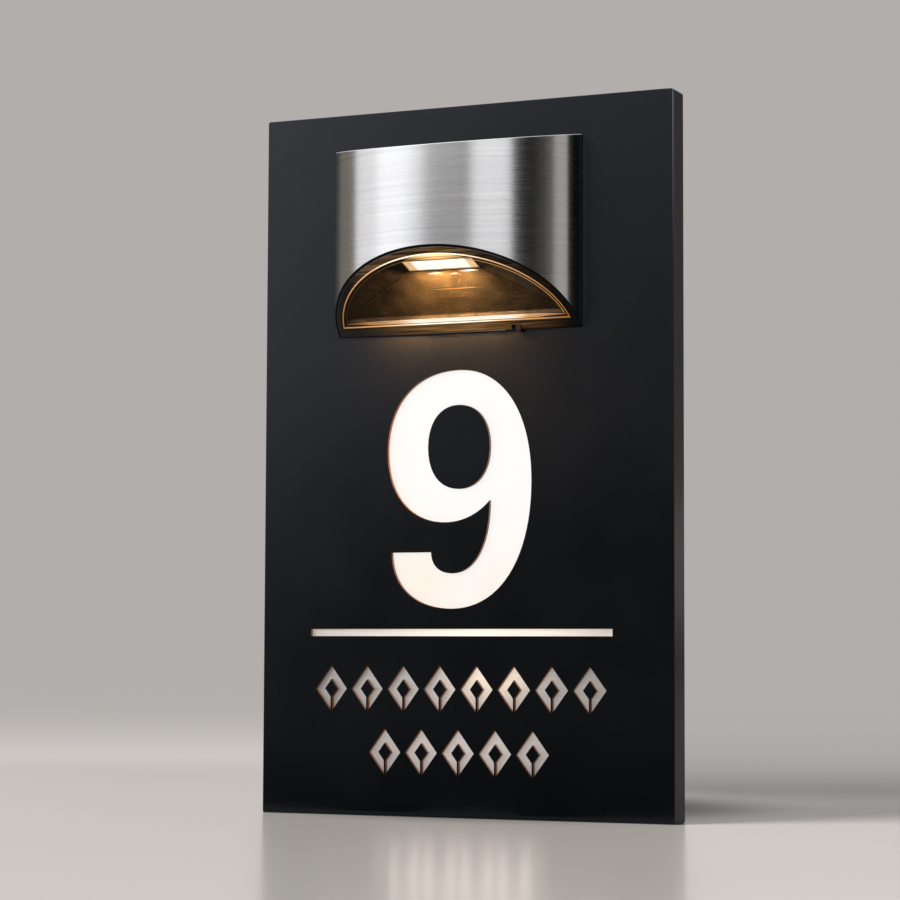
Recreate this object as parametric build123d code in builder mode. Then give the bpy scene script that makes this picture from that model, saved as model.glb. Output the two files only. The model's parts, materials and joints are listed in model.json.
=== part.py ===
"""Illuminated house number sign: a black box panel with a lit numeral and a half-round downlight above it.

Frame: millimetres, X to the viewer's right, Z up, the front faces -Y.
The wall plane is Y = 0 and the origin is the middle of the four wall holes.
"""

import os
from math import cos, radians, sin, sqrt

from build123d import *

os.makedirs("parts", exist_ok=True)

# ---- driving dimensions: panel
panel_w = 200.0  # outside width of the folded black panel
panel_h = 321.0  # outside height
panel_t = 13.5  # outside depth, wall plane to front face
sheet_t = 2.0  # thickness of the folded sheet
arris = 0.35  # broken edge round the front face
face_x = -2.2  # centre line shared by the lamp, the numeral, the bar and the ornament
seat_gap = 0.3  # clearance of a loosely seated piece
overrun = 1.0  # how far a cutting solid runs past what it cuts

# ---- driving dimensions: numeral
number_w = 70.6  # overall width of the 9
number_h = 107.4  # overall height of the 9
number_base = 93.2  # foot of the 9 above the panel's lower edge
stroke_w = 20.2  # width of the upright stroke
stroke_top = 15.8  # thickness of the curved strokes at top, waist and foot
bowl_z = 71.3  # height of the widest point of the bowl, above the foot
stem_z = 56.7  # height of the widest point of the stem, above the foot
bowl_x = 29.0  # lowest point of the bowl, in from the left
bowl_low = 38.8  # lowest point of the bowl, above the foot
top_x = 35.3  # highest point of the 9, in from the left
foot_x = 32.1  # lowest point of the 9, in from the left
hook_z = 25.4  # height of the cut end of the tail, above the foot
hook_x = 2.3  # outer corner of the cut end, in from the left
hook_w = 19.6  # length of the cut end
notch_z = 48.3  # height of the notch where the bowl meets the stem, above the foot
fullness = 0.61  # share of each quarter curve's box that its handles reach; 0.552 is a plain ellipse
counter_top = 15.8  # thickness of the top stroke above the counter
counter_h = 37.9  # height of the counter

# ---- driving dimensions: bar and ornament
bar_w = 147.3  # long straight cut below the numeral
bar_h = 3.2
bar_z = 82.5  # middle of the bar above the panel's lower edge
lozenge_w = 15.6  # each open lozenge of the ornament
lozenge_h = 21.0
lozenge_stroke = 3.7  # width of the lozenge's cut line
lozenge_pitch = 18.0  # from one lozenge to the next
upper_row_z = 57.1  # middle of the upper row above the panel's lower edge
upper_row_n = 8
lower_row_z = 28.7  # middle of the lower row
lower_row_n = 5
bridge_w = 0.8  # stencil bridge that holds each lozenge's middle

# ---- driving dimensions: light box
opal_t = 3.0  # opal diffuser
opal_side = 9.5  # diffuser beyond the numeral at each side
opal_top = 6.4  # diffuser above the numeral, room for the board's connector
opal_foot = 3.5  # diffuser below the numeral
opal_corner = 2.0
box_corner = 3.0
box_ledge = 1.0  # width of the ledge under the diffuser's edge
board_corner = 1.0
box_fit = 0.2  # clearance of the diffuser in the box mouth
box_wall = 1.6
box_floor = 1.5
box_depth = 4.0  # air depth behind the diffuser
ear_w = 10.0  # fixing ears of the light box
ear_h = 10.0
ear_t = 2.0
ear_inset = 14.0  # from the box end to the middle of an ear
led_board_t = 1.0
led_board_edge = 4.0  # board inside the box walls
led_pitch = 18.0
led_columns = 4
led_rows = 6
led_w = 3.5  # one surface-mount lamp on the board
led_d = 2.8
led_t = 0.8
plug_w = 6.0  # small white connector, the same on both boards
plug_h = 4.0
plug_t = 2.6
small_edge = 0.3  # broken edge or round of a small part
board_gap = 0.1  # cable to board
steel_t = 1.0  # brushed steel plate behind the bar and the ornament
steel_w = 162.0
steel_stud_side = 3.5  # studs in from the plate's sides
steel_stud_end = 9.0  # studs in from its top and foot
steel_foot = 8.5  # lower edge of the steel plate above the panel's lower edge

# ---- driving dimensions: wall plate and fixings
plate_t = 2.0
flange_d = 9.0  # depth of the folded top and bottom flanges
plate_side_gap = 4.0  # plate edge to the inside of the panel's side
wall_hole_r = 2.75
wall_hole_dx = 140.0
wall_hole_dz = 260.0
bend_r = 1.0  # inner radius of the wall plate's folds
tray_screw_r = 1.5  # countersunk screws up through the lower return
tray_screw_head_r = 2.9
tray_screw_len = 8.0
tray_screw_socket_r = 1.1
socket_depth = 1.0
tray_screw_dx = 150.0
tray_screw_y = 5.9  # screw line in front of the wall
thread_gap = 0.05  # a screw inside its thread
screw_gap = 0.1  # a screw in a plain hole or countersink
nut_r = 3.2
clinch_nut_r = 2.7
nut_t = 2.2
stud_r = 1.5  # weld studs on the back of the front sheet
stud_len = 5.0
stud_hole_r = 1.7

# ---- driving dimensions: lamp
lamp_w = 119.0  # half-round lamp, width at the wall
lamp_d = 35.0  # depth of the half ellipse
lamp_h = 86.0  # height at the wall
lamp_base = 217.5  # lower edge above the panel's lower edge
mouth_angle = 45.0  # slope of the open mouth
roof_angle = 10.0  # fall of the roof to the front
gasket_t = 0.8  # foam between lamp and panel
gasket_inset = 1.6
gasket_w = 4.0
gasket_corner = 2.0
cover_t = 0.8  # brushed steel cover
skin_gap = 0.15  # cover to housing
housing_wall = 2.4
bar_d = 3.7  # depth of the housing's rear bar and frame
bar_rise = 9.0  # height of the solid bar under the rear opening
frame_w = 2.0  # ledge round the rear opening
rear_top = 7.5  # rear opening's upper edge below the lamp's top at the wall
rear_side = 5.5  # rear opening's side in from the lamp's side
rear_cover_t = 2.0
rear_fit = 0.2
rear_corner = 3.0
seal_t = 0.5
roof_rim = 1.6  # housing rim round the solar glass
glass_t = 2.0
glass_drop = 0.3  # glass below the rim
glass_fit = 0.2
cell_w = 74.0
cell_d = 18.0
cell_y = 14.5  # middle of the cell from the lamp's back, along the roof
cell_t = 0.8
cell_gap = 0.2
cell_room = 0.5  # pocket round the cell
deck_t = 1.7  # roof under the solar cell
boss_r = 3.0
boss_x = 48.0
boss_low_z = 20.0
boss_top_gap = 20.0  # upper bosses below the lamp's top
boss_end = 11.0  # boss depth from the lamp's back
web_t = 2.0
web_end = 10.0  # web depth from the lamp's back
self_tap_r = 1.4
self_tap_len = 8.0
self_tap_head_r = 2.6

# ---- driving dimensions: light chamber
chamber_wall = 1.6
chamber_gap = 0.2  # chamber to housing
chamber_recess = 0.6  # chamber mouth behind the housing's mouth
chamber_lip = 1.0  # thickness of the chamber's rear lip
chamber_step = 3.0  # height of the upright lip at the back of the mouth
window_w = 33.5  # clear window over the lamps
window_d = 8.5  # across its slope
window_back_d = 16.0  # depth of its rear edge from the lamp's back
window_back_z = 27.0  # height of its rear edge above the lamp's base
window_angle = 20.5  # rise of the window to the front
corner_x = 54.0  # lower corner of the chamber's rear wall from the centre line
side_reach_x = 42.0  # a point of the chamber's flared side wall, over the rim
side_reach_d = 19.5
side_reach_z = 23.5
lens_fit = 0.1
lens_flange = 2.2
lens_flange_t = 1.2
strip_gap = 0.4  # lamps to lens
strip_w = 46.0
strip_d = 11.5
strip_t = 1.0
strip_boss_x = 20.5
strip_boss_r = 2.0
strip_screw_r = 0.8
strip_screw_len = 2.0  # screw into the boss
strip_hole_len = 3.0
hole_gap = 0.2  # screw in a board's hole
chip_w = 5.0  # one of the four large lamps
chip_t = 1.6
chip_pitch = 7.6
chip_n = 4

# ---- driving dimensions: lamp electronics
board_w = 48.0
board_h = 16.0
board_t = 1.2
board_z = 40.0  # middle of the charge board above the lamp's base
board_stand = 3.5  # standoff height from the rear cover
standoff_r = 2.0
standoff_x = 21.0
standoff_z = 5.5
board_screw_r = 0.8
board_screw_head_r = 1.7
board_screw_head_t = 1.0
board_screw_len = 3.0  # screw into its standoff
controller_w = 6.0  # the board's parts: one chip, two diodes, a coil and two capacitors
controller_h = 5.0
controller_t = 1.5
diode_w = 3.2
diode_h = 1.6
diode_z = 5.5  # diodes below the board's middle
coil_r = 3.0
coil_t = 3.0
capacitor_r = 2.0
capacitor_t = 4.0
part_x = 8.0  # column spacing of the board's parts
cell_battery_r = 7.25
cell_battery_len = 50.5
battery_drop = 19.5  # middle of the battery below the lamp's top
cradle_t = 1.2
cradle_gap = 0.2
spring_room = 5.5
contact_t = 0.5
spring_wire_r = 0.35
spring_r = 3.6
spring_turns = 4
spring_end_gap = 0.1  # coil to the battery's end
cradle_lip = 1.5  # cradle walls past the battery's middle
contact_w = 9.0
contact_corner = 1.0
nub_r = 2.6  # plus end of the battery
nub_t = 1.0
battery_edge = 0.6
insert_x = 40.0  # lamp fixing inserts in the rear cover
insert_z = 45.0
insert_boss_r = 4.2
insert_r = 2.8
insert_len = 7.0
lamp_screw_r = 2.0
lamp_screw_len = 10.0
lamp_screw_hole_r = 2.25
lamp_screw_head_r = 4.0
lamp_screw_head_t = 2.6
lamp_screw_round = 0.8
lamp_screw_socket_r = 1.4
lamp_screw_socket = 1.5

# ---- driving dimensions: switch, grommet and cable
switch_x = 29.0  # middle of the switch from the lamp's centre line
switch_body_w = 8.0
switch_body_h = 3.0
switch_body_d = 2.4
switch_z = 4.5  # underside of the switch body above the lamp's base
switch_travel = 2.0
slider_w = 2.6
slider_t = 1.2
slider_d = 1.3  # middle of the slider from the lamp's back
slider_head = 0.8  # slider inside the switch body
slider_tip = 1.2  # slider below the lamp's base
slider_gap = 0.15
grommet_z = 24.0  # cable hole above the lamp's base
grommet_hole_r = 4.0
grommet_flange_r = 5.5
grommet_flange_t = 1.0
grommet_bore_gap = 0.2
cable_r = 1.3
cable_bend = 3.6  # bend behind the panel
cable_lamp_bend = 6.0  # bend inside the lamp

# ---- derived places
panel_foot = -panel_h / 2
front_y = -panel_t
sheet_back_y = front_y + sheet_t
inner_w = panel_w - 2 * sheet_t
inner_h = panel_h - 2 * sheet_t
number_foot = panel_foot + number_base
number_left = face_x - number_w / 2
bar_mid_z = panel_foot + bar_z
opal_w = number_w + 2 * opal_side
opal_low = number_foot - opal_foot
opal_high = number_foot + number_h + opal_top
opal_mid = (opal_low + opal_high) / 2
opal_h = opal_high - opal_low
opal_back_y = sheet_back_y + opal_t
box_w = opal_w + 2 * (box_fit + box_wall)
box_h = opal_h + 2 * (box_fit + box_wall)
box_floor_y = opal_back_y + box_depth
box_back_y = box_floor_y + box_floor
led_board_w = opal_w - 2 * led_board_edge
led_board_h = opal_h - 2 * led_board_edge
led_board_y = box_floor_y - led_board_t
tray_hole_r = tray_screw_r + screw_gap
tray_sink_r = tray_screw_head_r + screw_gap
cover_hole_r = self_tap_r + screw_gap
cover_sink_r = self_tap_head_r + screw_gap
ear_x = box_w / 2 + ear_w / 2
ear_z = box_h / 2 - ear_inset
steel_low = panel_foot + steel_foot
steel_high = opal_mid - box_h / 2 - seat_gap
steel_mid = (steel_low + steel_high) / 2
steel_h = steel_high - steel_low
steel_stud_x = steel_w / 2 - steel_stud_side
steel_stud_z = steel_h / 2 - steel_stud_end
plate_w = inner_w - 2 * plate_side_gap
plate_top = inner_h / 2
plate_low = -inner_h / 2 + seat_gap
lamp_y = front_y - gasket_t
boss_high_z = lamp_h - boss_top_gap
lamp_z = panel_foot + lamp_base
lamp_top = lamp_z + lamp_h
gasket_inner_w = lamp_w - 2 * gasket_inset - 2 * gasket_w
gasket_inner_h = lamp_h - 2 * gasket_inset - 2 * gasket_w
housing_a = lamp_w / 2 - cover_t - skin_gap
housing_b = lamp_d - cover_t - skin_gap
inner_a = housing_a - housing_wall
inner_b = housing_b - housing_wall
rear_w = lamp_w - 2 * rear_side
rear_low = lamp_z + bar_rise
rear_high = lamp_top - rear_top
rear_mid = (rear_low + rear_high) / 2
rear_h = rear_high - rear_low
rear_cover_w = rear_w - 2 * rear_fit
rear_cover_h = rear_h - 2 * rear_fit
rear_window_w = rear_w - 2 * frame_w
rear_window_h = rear_h - 2 * frame_w
cover_corner = rear_corner - rear_fit
recess_depth = glass_drop + glass_t
cell_floor = recess_depth + cell_t + cell_gap
deck_under = cell_floor + deck_t
chamber_a = inner_a - chamber_gap
chamber_b = inner_b - chamber_gap
cavity_a = chamber_a - chamber_wall
cavity_b = chamber_b - chamber_wall
board_back_y = lamp_y - rear_cover_t - board_stand
board_front_y = board_back_y - board_t
battery_y = lamp_y - rear_cover_t - cradle_t - cradle_gap - cell_battery_r
battery_mid_z = lamp_top - battery_drop
battery_bay = cell_battery_len + spring_room + contact_t
cable_y = led_board_y - plug_t / 2 - board_gap
plug_z = opal_mid + led_board_h / 2 - plug_h
cable_hole_z = lamp_z + grommet_z
cable_lamp_y = board_front_y - plug_t / 2
switch_slot_w = slider_w + switch_travel + 2 * slider_gap


def half_ellipse(half_w, depth, height, base=0.0):
    """Solid half cylinder of elliptical plan standing on the lamp's back plane."""
    with BuildPart(mode=Mode.PRIVATE) as block:
        with BuildSketch(Plane.XY.offset(base)):
            with BuildLine():
                arc = EllipticalCenterArc((face_x, lamp_y), half_w, depth, 180, arc_size=180)
                Line(arc @ 1, arc @ 0)
            make_face()
        extrude(amount=height)
    return block.part


def sloped(depth, height, rise_angle):
    """Plane that rises with depth from the lamp's back; its normal points up."""
    lean = radians(rise_angle)
    return Plane(
        origin=(face_x, lamp_y - depth, height),
        x_dir=(1, 0, 0),
        z_dir=(0, sin(lean), cos(lean)),
    )


def quarter(start, end, upright_start, share):
    """Quarter curve between two points, upright at one end and level at the other."""
    run, rise = end[0] - start[0], end[1] - start[1]
    if upright_start:
        first = (start[0], start[1] + share * rise)
        second = (end[0] - share * run, end[1])
    else:
        first = (start[0] + share * run, start[1])
        second = (end[0], end[1] - share * rise)
    return Bezier(start, first, second, end)


mouth_plane = sloped(0, lamp_z, mouth_angle)
roof_plane = sloped(0, lamp_top, -roof_angle)
window_plane = sloped(window_back_d, lamp_z + window_back_z, window_angle)

# ---- numeral outline, on the panel face
number_right = number_left + number_w
number_top = number_foot + number_h
counter_x = number_left + number_w / 2
counter_a = (number_w - 2 * stroke_w) / 2
counter_b = counter_h / 2
counter_z = number_top - counter_top - counter_b
notch_x = number_right - stroke_w
left_point = (number_left, number_foot + bowl_z)
top_point = (number_left + top_x, number_top)
right_point = (number_right, number_foot + stem_z)
foot_point = (number_left + foot_x, number_foot)
hook_outer = (number_left + hook_x, number_foot + hook_z)
hook_inner = (number_left + hook_x + hook_w, number_foot + hook_z)
foot_inner = (number_left + foot_x, number_foot + stroke_top)
notch_point = (notch_x, number_foot + notch_z)
bowl_point = (number_left + bowl_x, number_foot + bowl_low)
notch_run = notch_point[0] - bowl_point[0]
notch_rise = notch_point[1] - bowl_point[1]
notch_r = (notch_run**2 + notch_rise**2) / (2 * notch_rise)

with BuildSketch(Plane.XZ.offset(panel_t)) as number_outline:
    with BuildLine():
        quarter(left_point, top_point, True, fullness)
        quarter(top_point, right_point, False, fullness)
        quarter(right_point, foot_point, True, fullness)
        quarter(foot_point, hook_outer, False, fullness)
        Line(hook_outer, hook_inner)
        quarter(hook_inner, foot_inner, True, fullness)
        quarter(foot_inner, notch_point, False, fullness)
        RadiusArc(notch_point, bowl_point, notch_r)
        quarter(bowl_point, left_point, False, fullness)
    make_face()

with BuildSketch(Plane.XZ.offset(panel_t)) as counter_outline:
    counter_left = (counter_x - counter_a, counter_z)
    counter_high = (counter_x, counter_z + counter_b)
    counter_right = (counter_x + counter_a, counter_z)
    counter_low = (counter_x, counter_z - counter_b)
    with BuildLine():
        quarter(counter_left, counter_high, True, fullness)
        quarter(counter_high, counter_right, False, fullness)
        quarter(counter_right, counter_low, True, fullness)
        quarter(counter_low, counter_left, False, fullness)
    make_face()

# ---- one open lozenge with its stencil bridge
lozenge_side = sqrt((lozenge_w / 2) ** 2 + (lozenge_h / 2) ** 2)
lozenge_reach = lozenge_w / 2 * lozenge_h / 2 / lozenge_side
lozenge_share = 1 - lozenge_stroke / lozenge_reach

with BuildSketch(mode=Mode.PRIVATE) as lozenge:
    Polygon(
        (-lozenge_w / 2, 0),
        (0, -lozenge_h / 2),
        (lozenge_w / 2, 0),
        (0, lozenge_h / 2),
        align=None,
    )
    Polygon(
        (-lozenge_w / 2 * lozenge_share, 0),
        (0, -lozenge_h / 2 * lozenge_share),
        (lozenge_w / 2 * lozenge_share, 0),
        (0, lozenge_h / 2 * lozenge_share),
        align=None,
        mode=Mode.SUBTRACT,
    )
    with Locations((0, -lozenge_h / 4)):
        Rectangle(bridge_w, lozenge_h / 2 + 1, mode=Mode.SUBTRACT)

with BuildSketch(Plane.XZ.offset(panel_t)) as ornament_outline:
    with Locations((face_x, panel_foot + upper_row_z)):
        with GridLocations(lozenge_pitch, 1, upper_row_n, 1):
            add(lozenge.sketch)
    with Locations((face_x, panel_foot + lower_row_z)):
        with GridLocations(lozenge_pitch, 1, lower_row_n, 1):
            add(lozenge.sketch)

# ==== sign body
with BuildPart() as fascia_tray:
    with BuildSketch(Plane.XZ):
        Rectangle(panel_w, panel_h)
    extrude(amount=panel_t)
    front_edges = fascia_tray.faces().sort_by(Axis.Y)[0].edges()
    chamfer(front_edges, arris)
    with BuildSketch(Plane.XZ):
        Rectangle(inner_w, inner_h)
    extrude(amount=panel_t - sheet_t, mode=Mode.SUBTRACT)
    extrude(number_outline.sketch, amount=-sheet_t, mode=Mode.SUBTRACT)
    extrude(ornament_outline.sketch, amount=-sheet_t, mode=Mode.SUBTRACT)
    with BuildSketch(Plane.XZ.offset(panel_t)):
        with Locations((face_x, bar_mid_z)):
            Rectangle(bar_w, bar_h)
        with Locations((face_x - insert_x, lamp_z + insert_z), (face_x + insert_x, lamp_z + insert_z)):
            Circle(lamp_screw_hole_r)
        with Locations((face_x, cable_hole_z)):
            Circle(grommet_hole_r)
    extrude(amount=-sheet_t, mode=Mode.SUBTRACT)
    with Locations(Plane(origin=(0, -tray_screw_y, panel_foot), x_dir=(1, 0, 0), z_dir=(0, 0, -1))):
        with GridLocations(tray_screw_dx, 1, 2, 1):
            CounterSinkHole(tray_hole_r, tray_sink_r, depth=sheet_t, counter_sink_angle=90)
fascia_tray.part.label = "fascia_tray"
export_step(fascia_tray.part, "parts/fascia_tray.step")

with BuildPart() as number_counter:
    extrude(counter_outline.sketch, amount=-sheet_t)
number_counter.part.label = "number_counter"
export_step(number_counter.part, "parts/number_counter.step")

with BuildPart() as number_diffuser:
    with BuildSketch(Plane.XZ.offset(-opal_back_y)):
        with Locations((face_x, opal_mid)):
            RectangleRounded(opal_w, opal_h, opal_corner)
    extrude(amount=opal_t)
number_diffuser.part.label = "number_diffuser"
export_step(number_diffuser.part, "parts/number_diffuser.step")

with BuildPart() as steel_backing:
    with BuildSketch(Plane.XZ.offset(-sheet_back_y)):
        with Locations((face_x, steel_mid)):
            Rectangle(steel_w, steel_h)
            with GridLocations(2 * steel_stud_x, 2 * steel_stud_z, 2, 2):
                Circle(stud_hole_r, mode=Mode.SUBTRACT)
    extrude(amount=-steel_t)
steel_backing.part.label = "steel_backing"
export_step(steel_backing.part, "parts/steel_backing.step")

with BuildPart() as light_box:
    with BuildSketch(Plane.XZ.offset(-box_back_y)):
        with Locations((face_x, opal_mid)):
            RectangleRounded(box_w, box_h, box_corner)
    extrude(amount=box_back_y - sheet_back_y)
    with BuildSketch(Plane.XZ.offset(-sheet_back_y)):
        with Locations((face_x, opal_mid)):
            RectangleRounded(opal_w + 2 * box_fit, opal_h + 2 * box_fit, opal_corner)
    extrude(amount=-opal_t, mode=Mode.SUBTRACT)
    with BuildSketch(Plane.XZ.offset(-opal_back_y)):
        with Locations((face_x, opal_mid)):
            Rectangle(opal_w - 2 * box_ledge, opal_h - 2 * box_ledge)
    extrude(amount=-box_depth, mode=Mode.SUBTRACT)
    with BuildSketch(Plane.XZ.offset(-sheet_back_y)):
        with Locations((face_x, opal_mid)):
            with GridLocations(2 * ear_x, 2 * ear_z, 2, 2):
                Rectangle(ear_w, ear_h)
    extrude(amount=-ear_t)
    with BuildSketch(Plane.XZ.offset(-sheet_back_y)):
        with Locations((face_x, opal_mid)):
            with GridLocations(2 * ear_x, 2 * ear_z, 2, 2):
                Circle(stud_hole_r)
    extrude(amount=-ear_t, mode=Mode.SUBTRACT)
    with BuildSketch(Plane.XY.offset(opal_mid)):
        with Locations((face_x, cable_y)):
            Circle(cable_r + grommet_bore_gap)
    extrude(amount=box_h, mode=Mode.SUBTRACT)
light_box.part.label = "light_box"
export_step(light_box.part, "parts/light_box.step")

with BuildPart() as number_led_board:
    with BuildSketch(Plane.XZ.offset(-box_floor_y)):
        with Locations((face_x, opal_mid)):
            RectangleRounded(led_board_w, led_board_h, board_corner)
    extrude(amount=led_board_t)
number_led_board.part.label = "number_led_board"
export_step(number_led_board.part, "parts/number_led_board.step")

with BuildPart() as number_leds:
    with BuildSketch(Plane.XZ.offset(-led_board_y)):
        with Locations((face_x, opal_mid - plug_h / 2)):
            with GridLocations(led_pitch, led_pitch, led_columns, led_rows):
                Rectangle(led_w, led_d)
    extrude(amount=led_t)
number_leds.part.label = "number_leds"
export_step(number_leds.part, "parts/number_leds.step")

with BuildPart() as number_plug:
    with BuildSketch(Plane.XY.offset(plug_z)):
        with Locations((face_x, led_board_y - plug_t / 2)):
            Rectangle(plug_w, plug_t)
    extrude(amount=plug_h)
    chamfer(number_plug.edges().filter_by(Axis.Z), small_edge)
number_plug.part.label = "number_plug"
export_step(number_plug.part, "parts/number_plug.step")

with BuildPart() as weld_studs:
    with BuildSketch(Plane.XZ.offset(-sheet_back_y)):
        with Locations((face_x, opal_mid)):
            with GridLocations(2 * ear_x, 2 * ear_z, 2, 2):
                Circle(stud_r)
        with Locations((face_x, steel_mid)):
            with GridLocations(2 * steel_stud_x, 2 * steel_stud_z, 2, 2):
                Circle(stud_r)
    extrude(amount=-stud_len)
    chamfer(weld_studs.faces().group_by(Axis.Y)[-1].edges(), small_edge)
weld_studs.part.label = "weld_studs"
export_step(weld_studs.part, "parts/weld_studs.step")

with BuildPart() as stud_nuts:
    with BuildSketch(Plane.XZ.offset(-(sheet_back_y + ear_t))):
        with Locations((face_x, opal_mid)):
            with GridLocations(2 * ear_x, 2 * ear_z, 2, 2):
                RegularPolygon(nut_r, 6)
                Circle(stud_r + thread_gap, mode=Mode.SUBTRACT)
    extrude(amount=-nut_t)
    with BuildSketch(Plane.XZ.offset(-(sheet_back_y + steel_t))):
        with Locations((face_x, steel_mid)):
            with GridLocations(2 * steel_stud_x, 2 * steel_stud_z, 2, 2):
                RegularPolygon(nut_r, 6)
                Circle(stud_r + thread_gap, mode=Mode.SUBTRACT)
    extrude(amount=-nut_t)
stud_nuts.part.label = "stud_nuts"
export_step(stud_nuts.part, "parts/stud_nuts.step")

# ---- wall plate: a sheet folded forward at top and bottom
with BuildPart() as wall_plate:
    with BuildSketch(Plane.YZ.offset(-plate_w / 2)):
        with BuildLine():
            Polyline(
                (-flange_d, plate_top),
                (0, plate_top),
                (0, plate_low),
                (-flange_d, plate_low),
                (-flange_d, plate_low + plate_t),
                (-plate_t, plate_low + plate_t),
                (-plate_t, plate_top - plate_t),
                (-flange_d, plate_top - plate_t),
                close=True,
            )
        make_face()
    extrude(amount=plate_w)
    fold_lines = wall_plate.edges().filter_by(Axis.X)
    fillet(fold_lines.filter_by_position(Axis.Y, 0, 0), bend_r + plate_t)
    fillet(fold_lines.filter_by_position(Axis.Y, -plate_t, -plate_t), bend_r)
    with BuildSketch(Plane.XZ):
        with GridLocations(wall_hole_dx, wall_hole_dz, 2, 2):
            Circle(wall_hole_r)
    extrude(amount=plate_t, mode=Mode.SUBTRACT)
    with BuildSketch(Plane.XY.offset(plate_low)):
        with Locations((0, -tray_screw_y)):
            with GridLocations(tray_screw_dx, 1, 2, 1):
                Circle(tray_screw_r + thread_gap)
    extrude(amount=plate_t, mode=Mode.SUBTRACT)
wall_plate.part.label = "wall_plate"
export_step(wall_plate.part, "parts/wall_plate.step")

with BuildPart() as clinch_nuts:
    with BuildSketch(Plane.XY.offset(plate_low + plate_t)):
        with Locations((0, -tray_screw_y)):
            with GridLocations(tray_screw_dx, 1, 2, 1):
                Circle(clinch_nut_r)
                Circle(tray_screw_r + thread_gap, mode=Mode.SUBTRACT)
    extrude(amount=nut_t)
clinch_nuts.part.label = "clinch_nuts"
export_step(clinch_nuts.part, "parts/clinch_nuts.step")

with BuildPart() as tray_screws:
    head_t = tray_screw_head_r - tray_screw_r
    with BuildSketch(Plane.XY.offset(panel_foot)):
        with Locations((0, -tray_screw_y)):
            with GridLocations(tray_screw_dx, 1, 2, 1):
                Circle(tray_screw_r)
    extrude(amount=tray_screw_len)
    with Locations((0, -tray_screw_y, panel_foot + head_t / 2)):
        with GridLocations(tray_screw_dx, 1, 2, 1):
            Cone(tray_screw_head_r, tray_screw_r, head_t)
    with BuildSketch(Plane.XY.offset(panel_foot)):
        with Locations((0, -tray_screw_y)):
            with GridLocations(tray_screw_dx, 1, 2, 1):
                RegularPolygon(tray_screw_socket_r, 6)
    extrude(amount=socket_depth, mode=Mode.SUBTRACT)
tray_screws.part.label = "tray_screws"
export_step(tray_screws.part, "parts/tray_screws.step")

# ==== lamp body
with BuildPart() as lamp_cover:
    add(half_ellipse(lamp_w / 2, lamp_d, lamp_h, lamp_z))
    add(
        half_ellipse(lamp_w / 2 - cover_t, lamp_d - cover_t, lamp_h + 2 * overrun, lamp_z - overrun),
        mode=Mode.SUBTRACT,
    )
    split(bisect_by=mouth_plane, keep=Keep.TOP)
    split(bisect_by=roof_plane, keep=Keep.BOTTOM)
lamp_cover.part.label = "lamp_cover"
export_step(lamp_cover.part, "parts/lamp_cover.step")

with BuildPart() as housing_room:
    add(half_ellipse(inner_a, inner_b, lamp_h, lamp_z - overrun))
    split(bisect_by=roof_plane.offset(-deck_under), keep=Keep.BOTTOM)
    split(bisect_by=Plane.XZ.offset(bar_d - lamp_y), keep=Keep.TOP)

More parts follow.
